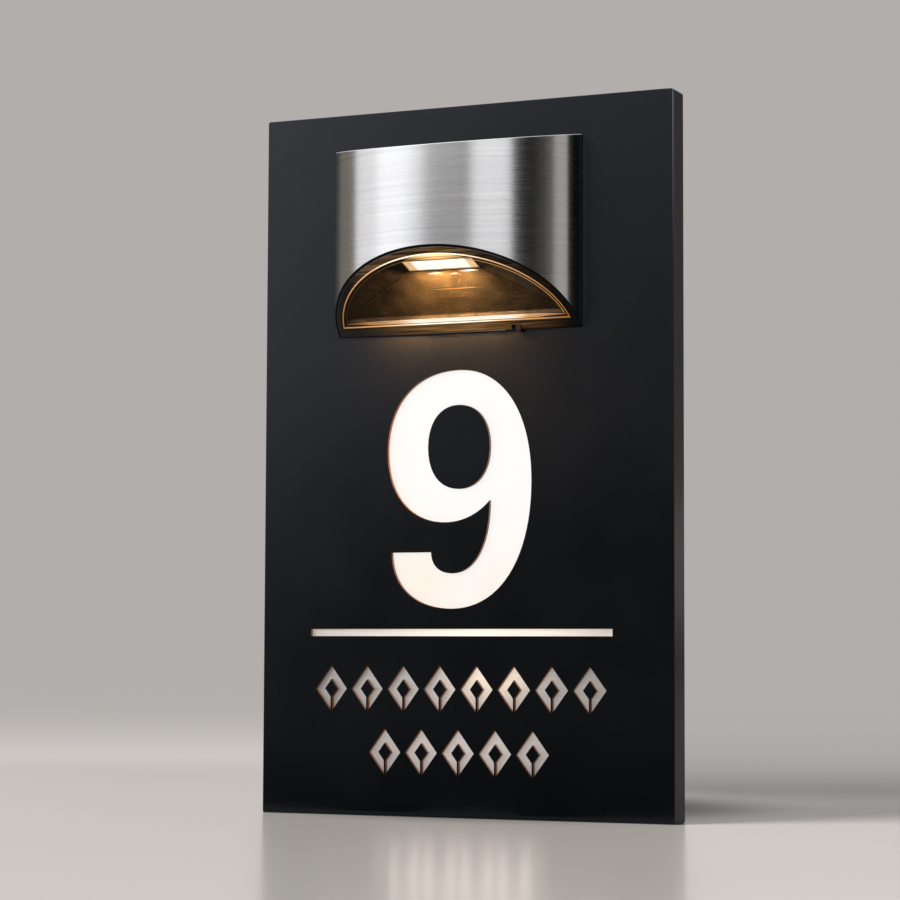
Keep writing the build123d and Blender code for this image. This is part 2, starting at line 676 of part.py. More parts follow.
with BuildPart() as lamp_housing:
    add(half_ellipse(housing_a, housing_b, lamp_h, lamp_z))
    split(bisect_by=mouth_plane, keep=Keep.TOP)
    split(bisect_by=roof_plane, keep=Keep.BOTTOM)
    add(housing_room.part, mode=Mode.SUBTRACT)
    # rear opening: a wide rebate for the rear cover, then a ledge that the cover presses its seal against
    with BuildSketch(Plane.XZ.offset(-lamp_y)):
        with Locations((face_x, rear_mid)):
            RectangleRounded(rear_w, rear_h, rear_corner)
    extrude(amount=rear_cover_t + seal_t, mode=Mode.SUBTRACT)
    with BuildSketch(Plane.XZ.offset(-lamp_y)):
        with Locations((face_x, rear_mid)):
            RectangleRounded(rear_window_w, rear_window_h, cover_corner)
    extrude(amount=bar_d, mode=Mode.SUBTRACT)
    # roof recess for the glass and a deeper pocket for the solar cell
    with BuildSketch(roof_plane.offset(-recess_depth)):
        with BuildLine():
            recess_arc = EllipticalCenterArc(
                (0, 0),
                housing_a - roof_rim,
                (housing_b - roof_rim) / cos(radians(roof_angle)),
                180,
                arc_size=180,
            )
            recess_left = recess_arc @ 0
            recess_right = recess_arc @ 1
            Line(recess_right, recess_left)
        make_face()
        with Locations((0, 0)):
            Rectangle(lamp_w, 2 * roof_rim, mode=Mode.SUBTRACT)
    extrude(amount=recess_depth + overrun, mode=Mode.SUBTRACT)
    with BuildSketch(roof_plane.offset(-cell_floor)):
        with Locations((0, -cell_y)):
            Rectangle(cell_w + 2 * cell_room, cell_d + 2 * cell_room)
    extrude(amount=cell_floor, mode=Mode.SUBTRACT)
    # four screw bosses webbed to the side walls
    with BuildSketch(Plane.XZ.offset(rear_cover_t - lamp_y)):
        with Locations((face_x, lamp_z + boss_low_z), (face_x, lamp_z + boss_high_z)):
            with GridLocations(2 * boss_x, 1, 2, 1):
                Circle(boss_r)
    extrude(amount=boss_end - rear_cover_t)
    web_w = inner_a - boss_x
    with BuildSketch(Plane.XZ.offset(bar_d - lamp_y)):
        with Locations((face_x, lamp_z + boss_low_z), (face_x, lamp_z + boss_high_z)):
            with GridLocations(2 * boss_x + web_w, 1, 2, 1):
                Rectangle(web_w, web_t)
    extrude(amount=web_end - bar_d)
    with BuildSketch(Plane.XZ.offset(rear_cover_t - lamp_y)):
        with Locations((face_x, lamp_z + boss_low_z), (face_x, lamp_z + boss_high_z)):
            with GridLocations(2 * boss_x, 1, 2, 1):
                Circle(self_tap_r + thread_gap)
    extrude(amount=self_tap_len, mode=Mode.SUBTRACT)
    # pocket and slot for the slide switch in the rear bar
    with BuildSketch(Plane.XZ.offset(-lamp_y)):
        with Locations((face_x + switch_x, lamp_z + switch_z + switch_body_h / 2)):
            Rectangle(switch_body_w + 2 * rear_fit, switch_body_h + 2 * rear_fit)
    extrude(amount=switch_body_d + 2 * rear_fit, mode=Mode.SUBTRACT)
    with BuildSketch(Plane.XZ.offset(-lamp_y)):
        with Locations((face_x + switch_x, lamp_z)):
            Rectangle(switch_slot_w, 2 * switch_z)
    extrude(amount=slider_d + slider_t / 2 + slider_gap, mode=Mode.SUBTRACT)
lamp_housing.part.label = "lamp_housing"
export_step(lamp_housing.part, "parts/lamp_housing.step")

# ---- light chamber: a flared reflector under the window
lamp_origin = Vector(face_x, lamp_y, lamp_z)
strip_level = chamber_wall + lens_flange_t + strip_gap + chip_t
wall_top = Vector(window_w / 2, -window_back_d, window_back_z)
wall_low = Vector(corner_x, -bar_d - chamber_gap - chamber_lip, bar_d + chamber_step + chamber_lip)
wall_middle = Vector(0, wall_top.Y, wall_top.Z)
side_reach = Vector(side_reach_x, -side_reach_d, side_reach_z)
side_normal = (side_reach - wall_top).cross(wall_low - wall_top).normalized()
back_normal = (wall_top - wall_middle).cross(wall_low - wall_top).normalized()
right_side = Plane(origin=lamp_origin + wall_top, z_dir=side_normal)
left_side = Plane(
    origin=lamp_origin + Vector(-wall_top.X, wall_top.Y, wall_top.Z),
    z_dir=Vector(-side_normal.X, side_normal.Y, side_normal.Z),
)
back_side = Plane(origin=lamp_origin + wall_middle, z_dir=back_normal)
lip_front = Plane.XZ.offset(bar_d + chamber_gap + chamber_lip - lamp_y)
lip_back = Plane.XZ.offset(bar_d + chamber_gap - lamp_y)

with BuildPart() as chamber_space:
    add(half_ellipse(cavity_a, cavity_b, lamp_h, lamp_z - overrun))
    split(bisect_by=window_plane, keep=Keep.BOTTOM)
    split(bisect_by=back_side, keep=Keep.BOTTOM)
    split(bisect_by=lip_front, keep=Keep.TOP)
    split(bisect_by=right_side, keep=Keep.BOTTOM)
    split(bisect_by=left_side, keep=Keep.BOTTOM)

with BuildPart() as light_chamber:
    add(half_ellipse(chamber_a, chamber_b, lamp_h, lamp_z))
    split(bisect_by=window_plane.offset(chamber_wall), keep=Keep.BOTTOM)
    split(bisect_by=mouth_plane.offset(chamber_recess), keep=Keep.TOP)
    split(bisect_by=back_side.offset(chamber_wall), keep=Keep.BOTTOM)
    split(bisect_by=lip_back, keep=Keep.TOP)
    split(bisect_by=right_side.offset(chamber_wall), keep=Keep.BOTTOM)
    split(bisect_by=left_side.offset(chamber_wall), keep=Keep.BOTTOM)
    add(chamber_space.part, mode=Mode.SUBTRACT)
    with BuildSketch(window_plane):
        with Locations((0, -window_d / 2 - lens_fit)):
            Rectangle(window_w + 2 * lens_fit, window_d + 2 * lens_fit)
    extrude(amount=chamber_wall, mode=Mode.SUBTRACT)
    with BuildSketch(window_plane.offset(chamber_wall)):
        with Locations((0, -window_d / 2)):
            with GridLocations(2 * strip_boss_x, 1, 2, 1):
                Circle(strip_boss_r)
    extrude(amount=strip_level - chamber_wall)
    with BuildSketch(window_plane.offset(strip_level)):
        with Locations((0, -window_d / 2)):
            with GridLocations(2 * strip_boss_x, 1, 2, 1):
                Circle(strip_screw_r + thread_gap)
    extrude(amount=-strip_hole_len, mode=Mode.SUBTRACT)
light_chamber.part.label = "light_chamber"
export_step(light_chamber.part, "parts/light_chamber.step")

with BuildPart() as led_window:
    with BuildSketch(window_plane):
        with Locations((0, -window_d / 2 - lens_fit)):
            Rectangle(window_w, window_d)
    extrude(amount=chamber_wall)
    with BuildSketch(window_plane.offset(chamber_wall)):
        with Locations((0, -window_d / 2 - lens_fit)):
            Rectangle(window_w + lens_flange, window_d + lens_flange)
    extrude(amount=lens_flange_t)
led_window.part.label = "led_window"
export_step(led_window.part, "parts/led_window.step")

with BuildPart() as led_strip:
    with BuildSketch(window_plane.offset(strip_level)):
        with Locations((0, -window_d / 2)):
            RectangleRounded(strip_w, strip_d, board_corner)
            with GridLocations(2 * strip_boss_x, 1, 2, 1):
                Circle(strip_screw_r + hole_gap, mode=Mode.SUBTRACT)
    extrude(amount=strip_t)
led_strip.part.label = "led_strip"
export_step(led_strip.part, "parts/led_strip.step")

with BuildPart() as lamp_leds:
    with BuildSketch(window_plane.offset(strip_level)):
        with Locations((0, -window_d / 2)):
            with GridLocations(chip_pitch, 1, chip_n, 1):
                Rectangle(chip_w, chip_w)
    extrude(amount=-chip_t)
lamp_leds.part.label = "lamp_leds"
export_step(lamp_leds.part, "parts/lamp_leds.step")

with BuildPart() as strip_screws:
    with BuildSketch(window_plane.offset(strip_level + strip_t)):
        with Locations((0, -window_d / 2)):
            with GridLocations(2 * strip_boss_x, 1, 2, 1):
                Circle(strip_screw_r)
    extrude(amount=-strip_t - strip_screw_len)
    with BuildSketch(window_plane.offset(strip_level + strip_t)):
        with Locations((0, -window_d / 2)):
            with GridLocations(2 * strip_boss_x, 1, 2, 1):
                Circle(board_screw_head_r)
    extrude(amount=board_screw_head_t)
    fillet(strip_screws.edges().group_by(Axis.Z)[-1], small_edge)
strip_screws.part.label = "strip_screws"
export_step(strip_screws.part, "parts/strip_screws.step")

# ---- solar roof
with BuildPart() as solar_glass:
    with BuildSketch(roof_plane.offset(-recess_depth)):
        with BuildLine():
            glass_arc = EllipticalCenterArc(
                (0, 0),
                housing_a - roof_rim - glass_fit,
                (housing_b - roof_rim - glass_fit) / cos(radians(roof_angle)),
                180,
                arc_size=180,
            )
            Line(glass_arc @ 1, glass_arc @ 0)
        make_face()
        with Locations((0, 0)):
            Rectangle(lamp_w, 2 * (roof_rim + glass_fit), mode=Mode.SUBTRACT)
    extrude(amount=glass_t)
solar_glass.part.label = "solar_glass"
export_step(solar_glass.part, "parts/solar_glass.step")

with BuildPart() as solar_cell:
    with BuildSketch(roof_plane.offset(-cell_floor)):
        with Locations((0, -cell_y)):
            Rectangle(cell_w, cell_d)
    extrude(amount=cell_t)
solar_cell.part.label = "solar_cell"
export_step(solar_cell.part, "parts/solar_cell.step")

# ---- rear cover with standoffs, insert bosses and battery cradle
with BuildPart() as rear_cover:
    with BuildSketch(Plane.XZ.offset(-lamp_y)):
        with Locations((face_x, rear_mid)):
            RectangleRounded(rear_cover_w, rear_cover_h, cover_corner)
    extrude(amount=rear_cover_t)
    with BuildSketch(Plane.XZ.offset(rear_cover_t - lamp_y)):
        with Locations((face_x, lamp_z + board_z)):
            with GridLocations(2 * standoff_x, 2 * standoff_z, 2, 2):
                Circle(standoff_r)
    extrude(amount=board_stand)
    with BuildSketch(Plane.XZ.offset(rear_cover_t - lamp_y)):
        with Locations((face_x, lamp_z + insert_z)):
            with GridLocations(2 * insert_x, 1, 2, 1):
                Circle(insert_boss_r)
    extrude(amount=insert_len)
    with BuildSketch(Plane.XZ.offset(-lamp_y)):
        with Locations((face_x, lamp_z + insert_z)):
            with GridLocations(2 * insert_x, 1, 2, 1):
                Circle(lamp_screw_hole_r)
    extrude(amount=rear_cover_t, mode=Mode.SUBTRACT)
    with BuildSketch(Plane.XZ.offset(rear_cover_t - lamp_y)):
        with Locations((face_x, lamp_z + insert_z)):
            with GridLocations(2 * insert_x, 1, 2, 1):
                Circle(insert_r)
    extrude(amount=insert_len, mode=Mode.SUBTRACT)
    with BuildSketch(Plane.XZ.offset(rear_cover_t + board_stand - lamp_y)):
        with Locations((face_x, lamp_z + board_z)):
            with GridLocations(2 * standoff_x, 2 * standoff_z, 2, 2):
                Circle(board_screw_r + thread_gap)
    extrude(amount=-board_stand, mode=Mode.SUBTRACT)
    with BuildSketch(Plane.XZ.offset(-lamp_y)):
        with Locations((face_x, cable_hole_z)):
            Circle(grommet_flange_r + seat_gap)
    extrude(amount=rear_cover_t, mode=Mode.SUBTRACT)
    with Locations(Plane(origin=(face_x, lamp_y, 0), x_dir=(1, 0, 0), z_dir=(0, 1, 0))):
        with Locations((-boss_x, -lamp_z - boss_low_z), (boss_x, -lamp_z - boss_low_z)):
            CounterSinkHole(cover_hole_r, cover_sink_r, depth=rear_cover_t, counter_sink_angle=90)
        with Locations((-boss_x, -lamp_z - boss_high_z), (boss_x, -lamp_z - boss_high_z)):
            CounterSinkHole(cover_hole_r, cover_sink_r, depth=rear_cover_t, counter_sink_angle=90)
rear_cover.part.label = "rear_cover"
export_step(rear_cover.part, "parts/rear_cover.step")

with BuildPart() as rear_seal:
    with BuildSketch(Plane.XZ.offset(rear_cover_t - lamp_y)):
        with Locations((face_x, rear_mid)):
            RectangleRounded(rear_cover_w, rear_cover_h, cover_corner)
            RectangleRounded(rear_window_w, rear_window_h, cover_corner, mode=Mode.SUBTRACT)
    extrude(amount=seal_t)
rear_seal.part.label = "rear_seal"
export_step(rear_seal.part, "parts/rear_seal.step")

with BuildPart() as rear_cover_screws:
    with BuildSketch(Plane.XZ.offset(-lamp_y)):
        with Locations((face_x, lamp_z + boss_low_z), (face_x, lamp_z + boss_high_z)):
            with GridLocations(2 * boss_x, 1, 2, 1):
                Circle(self_tap_r)
    extrude(amount=self_tap_len)
    sink_t = self_tap_head_r - self_tap_r
    head_plane = Plane(origin=(face_x, lamp_y - sink_t / 2, lamp_z), x_dir=(1, 0, 0), z_dir=(0, -1, 0))
    with Locations(head_plane):
        with Locations((0, boss_low_z), (0, boss_high_z)):
            with GridLocations(2 * boss_x, 1, 2, 1):
                Cone(self_tap_head_r, self_tap_r, sink_t)
rear_cover_screws.part.label = "rear_cover_screws"
export_step(rear_cover_screws.part, "parts/rear_cover_screws.step")

with BuildPart() as lamp_inserts:
    with BuildSketch(Plane.XZ.offset(rear_cover_t - lamp_y)):
        with Locations((face_x, lamp_z + insert_z)):
            with GridLocations(2 * insert_x, 1, 2, 1):
                Circle(insert_r)
                Circle(lamp_screw_r + thread_gap, mode=Mode.SUBTRACT)
    extrude(amount=insert_len)
lamp_inserts.part.label = "lamp_inserts"
export_step(lamp_inserts.part, "parts/lamp_inserts.step")

with BuildPart() as lamp_screws:
    with BuildSketch(Plane.XZ.offset(-sheet_back_y)):
        with Locations((face_x, lamp_z + insert_z)):
            with GridLocations(2 * insert_x, 1, 2, 1):
                Circle(lamp_screw_r)
    extrude(amount=lamp_screw_len)
    with BuildSketch(Plane.XZ.offset(-sheet_back_y)):
        with Locations((face_x, lamp_z + insert_z)):
            with GridLocations(2 * insert_x, 1, 2, 1):
                Circle(lamp_screw_head_r)
    extrude(amount=-lamp_screw_head_t)
    fillet(lamp_screws.faces().group_by(Axis.Y)[-1].edges(), lamp_screw_round)
    with BuildSketch(Plane.XZ.offset(-(sheet_back_y + lamp_screw_head_t))):
        with Locations((face_x, lamp_z + insert_z)):
            with GridLocations(2 * insert_x, 1, 2, 1):
                RegularPolygon(lamp_screw_socket_r, 6)
    extrude(amount=lamp_screw_socket, mode=Mode.SUBTRACT)
lamp_screws.part.label = "lamp_screws"
export_step(lamp_screws.part, "parts/lamp_screws.step")

with BuildPart() as lamp_gasket:
    with BuildSketch(Plane.XZ.offset(panel_t)):
        with Locations((face_x, lamp_z + lamp_h / 2)):
            RectangleRounded(lamp_w - 2 * gasket_inset, lamp_h - 2 * gasket_inset, gasket_corner)
            Rectangle(gasket_inner_w, gasket_inner_h, mode=Mode.SUBTRACT)
    extrude(amount=gasket_t)
lamp_gasket.part.label = "lamp_gasket"
export_step(lamp_gasket.part, "parts/lamp_gasket.step")

# ---- charge board
with BuildPart() as charge_board:
    with BuildSketch(Plane.XZ.offset(-board_back_y)):
        with Locations((face_x, lamp_z + board_z)):
            RectangleRounded(board_w, board_h, board_corner)
            with GridLocations(2 * standoff_x, 2 * standoff_z, 2, 2):
                Circle(board_screw_r + hole_gap, mode=Mode.SUBTRACT)
    extrude(amount=board_t)
charge_board.part.label = "charge_board"
export_step(charge_board.part, "parts/charge_board.step")

with BuildPart() as board_screws:
    with BuildSketch(Plane.XZ.offset(-board_front_y)):
        with Locations((face_x, lamp_z + board_z)):
            with GridLocations(2 * standoff_x, 2 * standoff_z, 2, 2):
                Circle(board_screw_head_r)
    extrude(amount=board_screw_head_t)
    fillet(board_screws.faces().group_by(Axis.Y)[0].edges(), small_edge)
    with BuildSketch(Plane.XZ.offset(-board_front_y)):
        with Locations((face_x, lamp_z + board_z)):
            with GridLocations(2 * standoff_x, 2 * standoff_z, 2, 2):
                Circle(board_screw_r)
    extrude(amount=-board_t - board_screw_len)
board_screws.part.label = "board_screws"
export_step(board_screws.part, "parts/board_screws.step")

with BuildPart() as board_components:
    with BuildSketch(Plane.XZ.offset(-board_front_y)):
        with Locations((face_x - part_x, lamp_z + board_z)):
            Rectangle(controller_w, controller_h)
        with Locations((face_x, lamp_z + board_z - diode_z)):
            with GridLocations(3 * part_x, 1, 2, 1):
                Rectangle(diode_w, diode_h)
    extrude(amount=controller_t)
    with BuildSketch(Plane.XZ.offset(-board_front_y)):
        with Locations((face_x + part_x, lamp_z + board_z)):
            Circle(coil_r)
    extrude(amount=coil_t)
    with BuildSketch(Plane.XZ.offset(-board_front_y)):
        with Locations((face_x, lamp_z + board_z)):
            with GridLocations(4 * part_x, 1, 2, 1):
                Circle(capacitor_r)
    extrude(amount=capacitor_t)
board_components.part.label = "board_components"
export_step(board_components.part, "parts/board_components.step")

with BuildPart() as charge_plug:
    with BuildSketch(Plane.XY.offset(lamp_z + board_z - board_h / 2)):
        with Locations((face_x, board_front_y - plug_t / 2)):
            Rectangle(plug_w, plug_t)
    extrude(amount=plug_h)
    chamfer(charge_plug.edges().filter_by(Axis.Z), small_edge)
charge_plug.part.label = "charge_plug"
export_step(charge_plug.part, "parts/charge_plug.step")

# ---- battery and its cradle
with BuildPart() as battery_cradle:
    cradle_gap_r = cell_battery_r + cradle_gap
    cradle_h = 2 * (cradle_gap_r + cradle_t)
    cradle_d = cradle_t + cradle_gap + cell_battery_r + cradle_lip
    with BuildSketch(Plane.XZ.offset(rear_cover_t - lamp_y)):
        with Locations((face_x, battery_mid_z)):
            Rectangle(battery_bay + 2 * cradle_t, cradle_h)
    extrude(amount=cradle_d)
    with BuildSketch(Plane.XZ.offset(rear_cover_t + cradle_t - lamp_y)):
        with Locations((face_x, battery_mid_z)):
            Rectangle(battery_bay, cradle_h - 2 * cradle_t)
    extrude(amount=cradle_d, mode=Mode.SUBTRACT)
battery_cradle.part.label = "battery_cradle"
export_step(battery_cradle.part, "parts/battery_cradle.step")

battery_start = face_x - battery_bay / 2 + spring_room
with BuildPart() as battery:
    with BuildSketch(Plane.YZ.offset(battery_start)):
        with Locations((battery_y, battery_mid_z)):
            Circle(cell_battery_r)
    extrude(amount=cell_battery_len - nub_t)
    fillet(battery.edges(), battery_edge)
    with BuildSketch(Plane.YZ.offset(battery_start + cell_battery_len - nub_t)):
        with Locations((battery_y, battery_mid_z)):
            Circle(nub_r)
    extrude(amount=nub_t)
battery.part.label = "battery"
export_step(battery.part, "parts/battery.step")

with BuildPart() as battery_contact:
    with BuildSketch(Plane.YZ.offset(battery_start + cell_battery_len)):
        with Locations((battery_y, battery_mid_z)):
            RectangleRounded(contact_w, contact_w, contact_corner)
    extrude(amount=contact_t)
battery_contact.part.label = "battery_contact"
export_step(battery_contact.part, "parts/battery_contact.step")

spring_base = face_x - battery_bay / 2 + contact_t + spring_wire_r
spring_height = spring_room - contact_t - 2 * spring_wire_r
with BuildPart() as battery_spring:
    with BuildSketch(Plane.YZ.offset(face_x - battery_bay / 2)):
        with Locations((battery_y, battery_mid_z)):
            RectangleRounded(contact_w, contact_w, contact_corner)
    extrude(amount=contact_t)
    with BuildLine():
        coil = Helix(
            spring_height / spring_turns,
            spring_height,
            spring_r,
            center=(spring_base - spring_end_gap, battery_y, battery_mid_z),
            direction=(1, 0, 0),
        )
    with BuildSketch(Plane(origin=coil @ 0, z_dir=coil % 0)):
        Circle(spring_wire_r)
    sweep(path=coil)
battery_spring.part.label = "battery_spring"
export_step(battery_spring.part, "parts/battery_spring.step")

# ---- slide switch in the housing's rear bar
with BuildPart() as switch_body:
    with BuildSketch(Plane.XZ.offset(rear_fit / 2 - lamp_y)):
        with Locations((face_x + switch_x, lamp_z + switch_z + switch_body_h / 2)):
            Rectangle(switch_body_w, switch_body_h)
    extrude(amount=switch_body_d)
    with BuildSketch(Plane.XZ.offset(slider_d - slider_t / 2 - slider_gap - lamp_y)):
        with Locations((face_x + switch_x, lamp_z + switch_z)):
            Rectangle(switch_slot_w, 2 * (slider_head + slider_gap))
    extrude(amount=slider_t + 2 * slider_gap, mode=Mode.SUBTRACT)
switch_body.part.label = "switch_body"
export_step(switch_body.part, "parts/switch_body.step")

with BuildPart() as switch_slider:
    with BuildSketch(Plane.XZ.offset(slider_d - slider_t / 2 - lamp_y)):
        with Locations((face_x + switch_x + switch_travel / 2, lamp_z - slider_tip)):
            Rectangle(slider_w, slider_tip + switch_z + slider_head, align=(Align.CENTER, Align.MIN))
    extrude(amount=slider_t)
    chamfer(switch_slider.faces().sort_by(Axis.Z)[0].edges(), small_edge)
switch_slider.part.label = "switch_slider"
export_step(switch_slider.part, "parts/switch_slider.step")

# ---- grommet and the cable between the two boards
with BuildPart() as grommet:
    with BuildSketch(Plane.XZ.offset(-sheet_back_y)):
        with Locations((face_x, cable_hole_z)):
            Circle(grommet_hole_r)
    extrude(amount=sheet_t)
    with BuildSketch(Plane.XZ.offset(panel_t)):
        with Locations((face_x, cable_hole_z)):
            Circle(grommet_flange_r)
    extrude(amount=grommet_flange_t)
    with BuildSketch(Plane.XZ.offset(-sheet_back_y)):
        with Locations((face_x, cable_hole_z)):
            Circle(grommet_flange_r)
    extrude(amount=-grommet_flange_t)
    with BuildSketch(Plane.XZ.offset(panel_t + grommet_flange_t)):
        with Locations((face_x, cable_hole_z)):
            Circle(cable_r + grommet_bore_gap)
    extrude(amount=-(sheet_t + 2 * grommet_flange_t), mode=Mode.SUBTRACT)
grommet.part.label = "grommet"
export_step(grommet.part, "parts/grommet.step")

with BuildPart() as link_cable:
    with BuildLine() as cable_route:
        FilletPolyline(
            (face_x, cable_y, plug_z + plug_h),
            (face_x, cable_y, cable_hole_z),
            (face_x, cable_lamp_y, cable_hole_z),
            (face_x, cable_lamp_y, lamp_z + board_z - board_h / 2),
            radius=[cable_bend, cable_lamp_bend],
        )
    with BuildSketch(Plane.XY.offset(plug_z + plug_h)):
        with Locations((face_x, cable_y)):
            Circle(cable_r)
    sweep(path=cable_route.line)
link_cable.part.label = "link_cable"
export_step(link_cable.part, "parts/link_cable.step")

print("link cable length", round(cable_route.wires()[0].length, 1))
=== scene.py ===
"""Looks of the illuminated house number sign, dressed over its CAD model.

Metres, in the CAD frame: X to the viewer's right, Z up, the front faces -Y and the wall plane is Y = 0.
"""

import json
import logging
from abc import abstractmethod
from dataclasses import dataclass, field
from enum import Enum
from functools import cached_property
from math import atan2, cos, pi, radians, sin, sqrt, tan
from typing import Any, Callable, ClassVar, Sequence

import bmesh
import bpy
import numpy as np
from mathutils import Matrix, Vector
from mathutils.geometry import delaunay_2d_cdt

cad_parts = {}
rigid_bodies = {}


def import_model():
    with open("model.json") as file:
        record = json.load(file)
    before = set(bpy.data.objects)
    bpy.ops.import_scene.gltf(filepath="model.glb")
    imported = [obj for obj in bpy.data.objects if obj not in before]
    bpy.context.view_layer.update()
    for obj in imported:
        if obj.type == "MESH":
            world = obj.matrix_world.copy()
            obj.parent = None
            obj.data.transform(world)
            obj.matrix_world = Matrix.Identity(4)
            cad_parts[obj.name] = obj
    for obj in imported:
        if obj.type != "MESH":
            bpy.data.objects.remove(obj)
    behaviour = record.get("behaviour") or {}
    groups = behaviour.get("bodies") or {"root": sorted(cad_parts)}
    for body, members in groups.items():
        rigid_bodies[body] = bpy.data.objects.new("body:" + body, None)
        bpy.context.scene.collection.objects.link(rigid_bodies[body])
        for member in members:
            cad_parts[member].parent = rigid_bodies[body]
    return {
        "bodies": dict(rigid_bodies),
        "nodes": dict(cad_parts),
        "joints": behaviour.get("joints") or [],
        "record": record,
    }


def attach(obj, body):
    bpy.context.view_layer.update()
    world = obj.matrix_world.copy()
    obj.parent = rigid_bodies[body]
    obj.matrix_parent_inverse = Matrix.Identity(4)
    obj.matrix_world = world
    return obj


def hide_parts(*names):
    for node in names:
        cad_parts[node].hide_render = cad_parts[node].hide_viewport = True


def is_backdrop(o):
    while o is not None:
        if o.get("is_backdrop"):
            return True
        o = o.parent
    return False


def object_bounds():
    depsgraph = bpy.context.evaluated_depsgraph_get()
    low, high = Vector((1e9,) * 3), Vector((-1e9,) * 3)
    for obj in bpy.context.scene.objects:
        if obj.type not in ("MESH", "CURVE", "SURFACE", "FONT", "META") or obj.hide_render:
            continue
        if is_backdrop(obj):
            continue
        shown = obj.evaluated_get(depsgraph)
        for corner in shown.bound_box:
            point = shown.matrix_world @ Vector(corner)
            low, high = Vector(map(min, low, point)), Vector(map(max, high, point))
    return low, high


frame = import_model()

LOG = logging.getLogger("house_number_sign")
MM = 0.001
FACE_X = -2.2 * MM  # centre line shared by the lamp, the numeral, the bar and the ornament
CAD_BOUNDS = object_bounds()
SWING = (0.3, 0.7)  # between these lie most values of a noise
MIDDLE_SWING = (0.35, 0.65)
TONES = {"output": "Result", "data_type": "RGBA"}  # settings of a Mix node for colours
SOFT = {"interpolation_type": "SMOOTHSTEP"}  # setting of a Map Range node with soft ends

Inputs = dict[Any, Any] | Sequence[Any]  # by socket name, or in the order of the sockets in use
Pair = tuple[float, float]
Triple = tuple[float, float, float]
Spot = tuple[float, float, float, float, str]  # one painted pool of light: middle X and Z, reach along X and Z, colour


class Reach(Enum):
    """What a studio lamp lights."""

    ALL = "all"
    SIGN = "sign"
    FLOOR = "floor"


def linear(code: str) -> tuple[float, float, float, float]:
    """Turn an sRGB hex colour into linear light.

    Args:
        code: Six hex digits after a hash sign.

    Returns:
        Red, green and blue in linear light, with an alpha of one.
    """
    values = [int(code[i : i + 2], 16) / 255 for i in (1, 3, 5)]
    light = [v / 12.92 if v <= 0.04045 else ((v + 0.055) / 1.055) ** 2.4 for v in values]
    return (light[0], light[1], light[2], 1.0)


class Nodes:
    """What fills the node tree of one material or of the world."""

    tree: bpy.types.NodeTree

    def feed(self, node: str | bpy.types.Node, inputs: Inputs) -> None:
        """Fill a node's sockets: a socket is linked, a hex colour is turned to linear light, and the rest is set.

        Args:
            node: The node, or its name.
            inputs: What goes in.
        """
        node = self.tree.nodes[node] if isinstance(node, str) else node
        if not isinstance(inputs, dict):
            numbers = [number for number, socket in enumerate(node.inputs) if socket.enabled]
            inputs = dict(zip(numbers, inputs))
        for key, value in inputs.items():
            if isinstance(value, bpy.types.NodeSocket):
                self.tree.links.new(value, node.inputs[key])
            else:
                node.inputs[key].default_value = linear(value) if isinstance(value, str) else value

    def add(self, kind: str, inputs: Inputs = (), output: int | str = 0, **settings: Any) -> bpy.types.NodeSocket:
        """Add a node with its settings and links.

        Args:
            kind: The node's type without the words ShaderNode.
            inputs: What goes in.
            output: The output that is handed back.
            **settings: The node's own properties.

        Returns:
            The chosen output socket.
        """
        node = self.tree.nodes.new("ShaderNode" + kind)
        for name, value in settings.items():
            setattr(node, name, value)
        self.feed(node, inputs)
        return node.outputs[output]

    def dress(self, inputs: Inputs) -> None:
        """Fill the Principled shader's sockets."""
        self.feed("Principled BSDF", inputs)

    @cached_property
    def place(self) -> bpy.types.NodeSocket:
        """The point on the surface, in the sign's own coordinates."""
        return self.add("TexCoord", output="Object")

    def streaks(self, per_metre: Triple) -> bpy.types.NodeSocket:
        """Draw a noise out into streaks: it varies so many times in a metre along X, Y and Z."""
        drawn = self.add("Mapping", {"Vector": self.place, "Scale": per_metre})
        return self.add("TexNoise", [drawn, 1.0, 3.0])

    def clear_from_behind(self, surface: bpy.types.NodeSocket) -> None:
        """Show a surface from its front, and nothing from behind."""
        sides = [self.add("NewGeometry", output="Backfacing"), surface, self.add("BsdfTransparent")]
        self.feed("Material Output", {"Surface": self.add("MixShader", sides)})


# ---- finishes


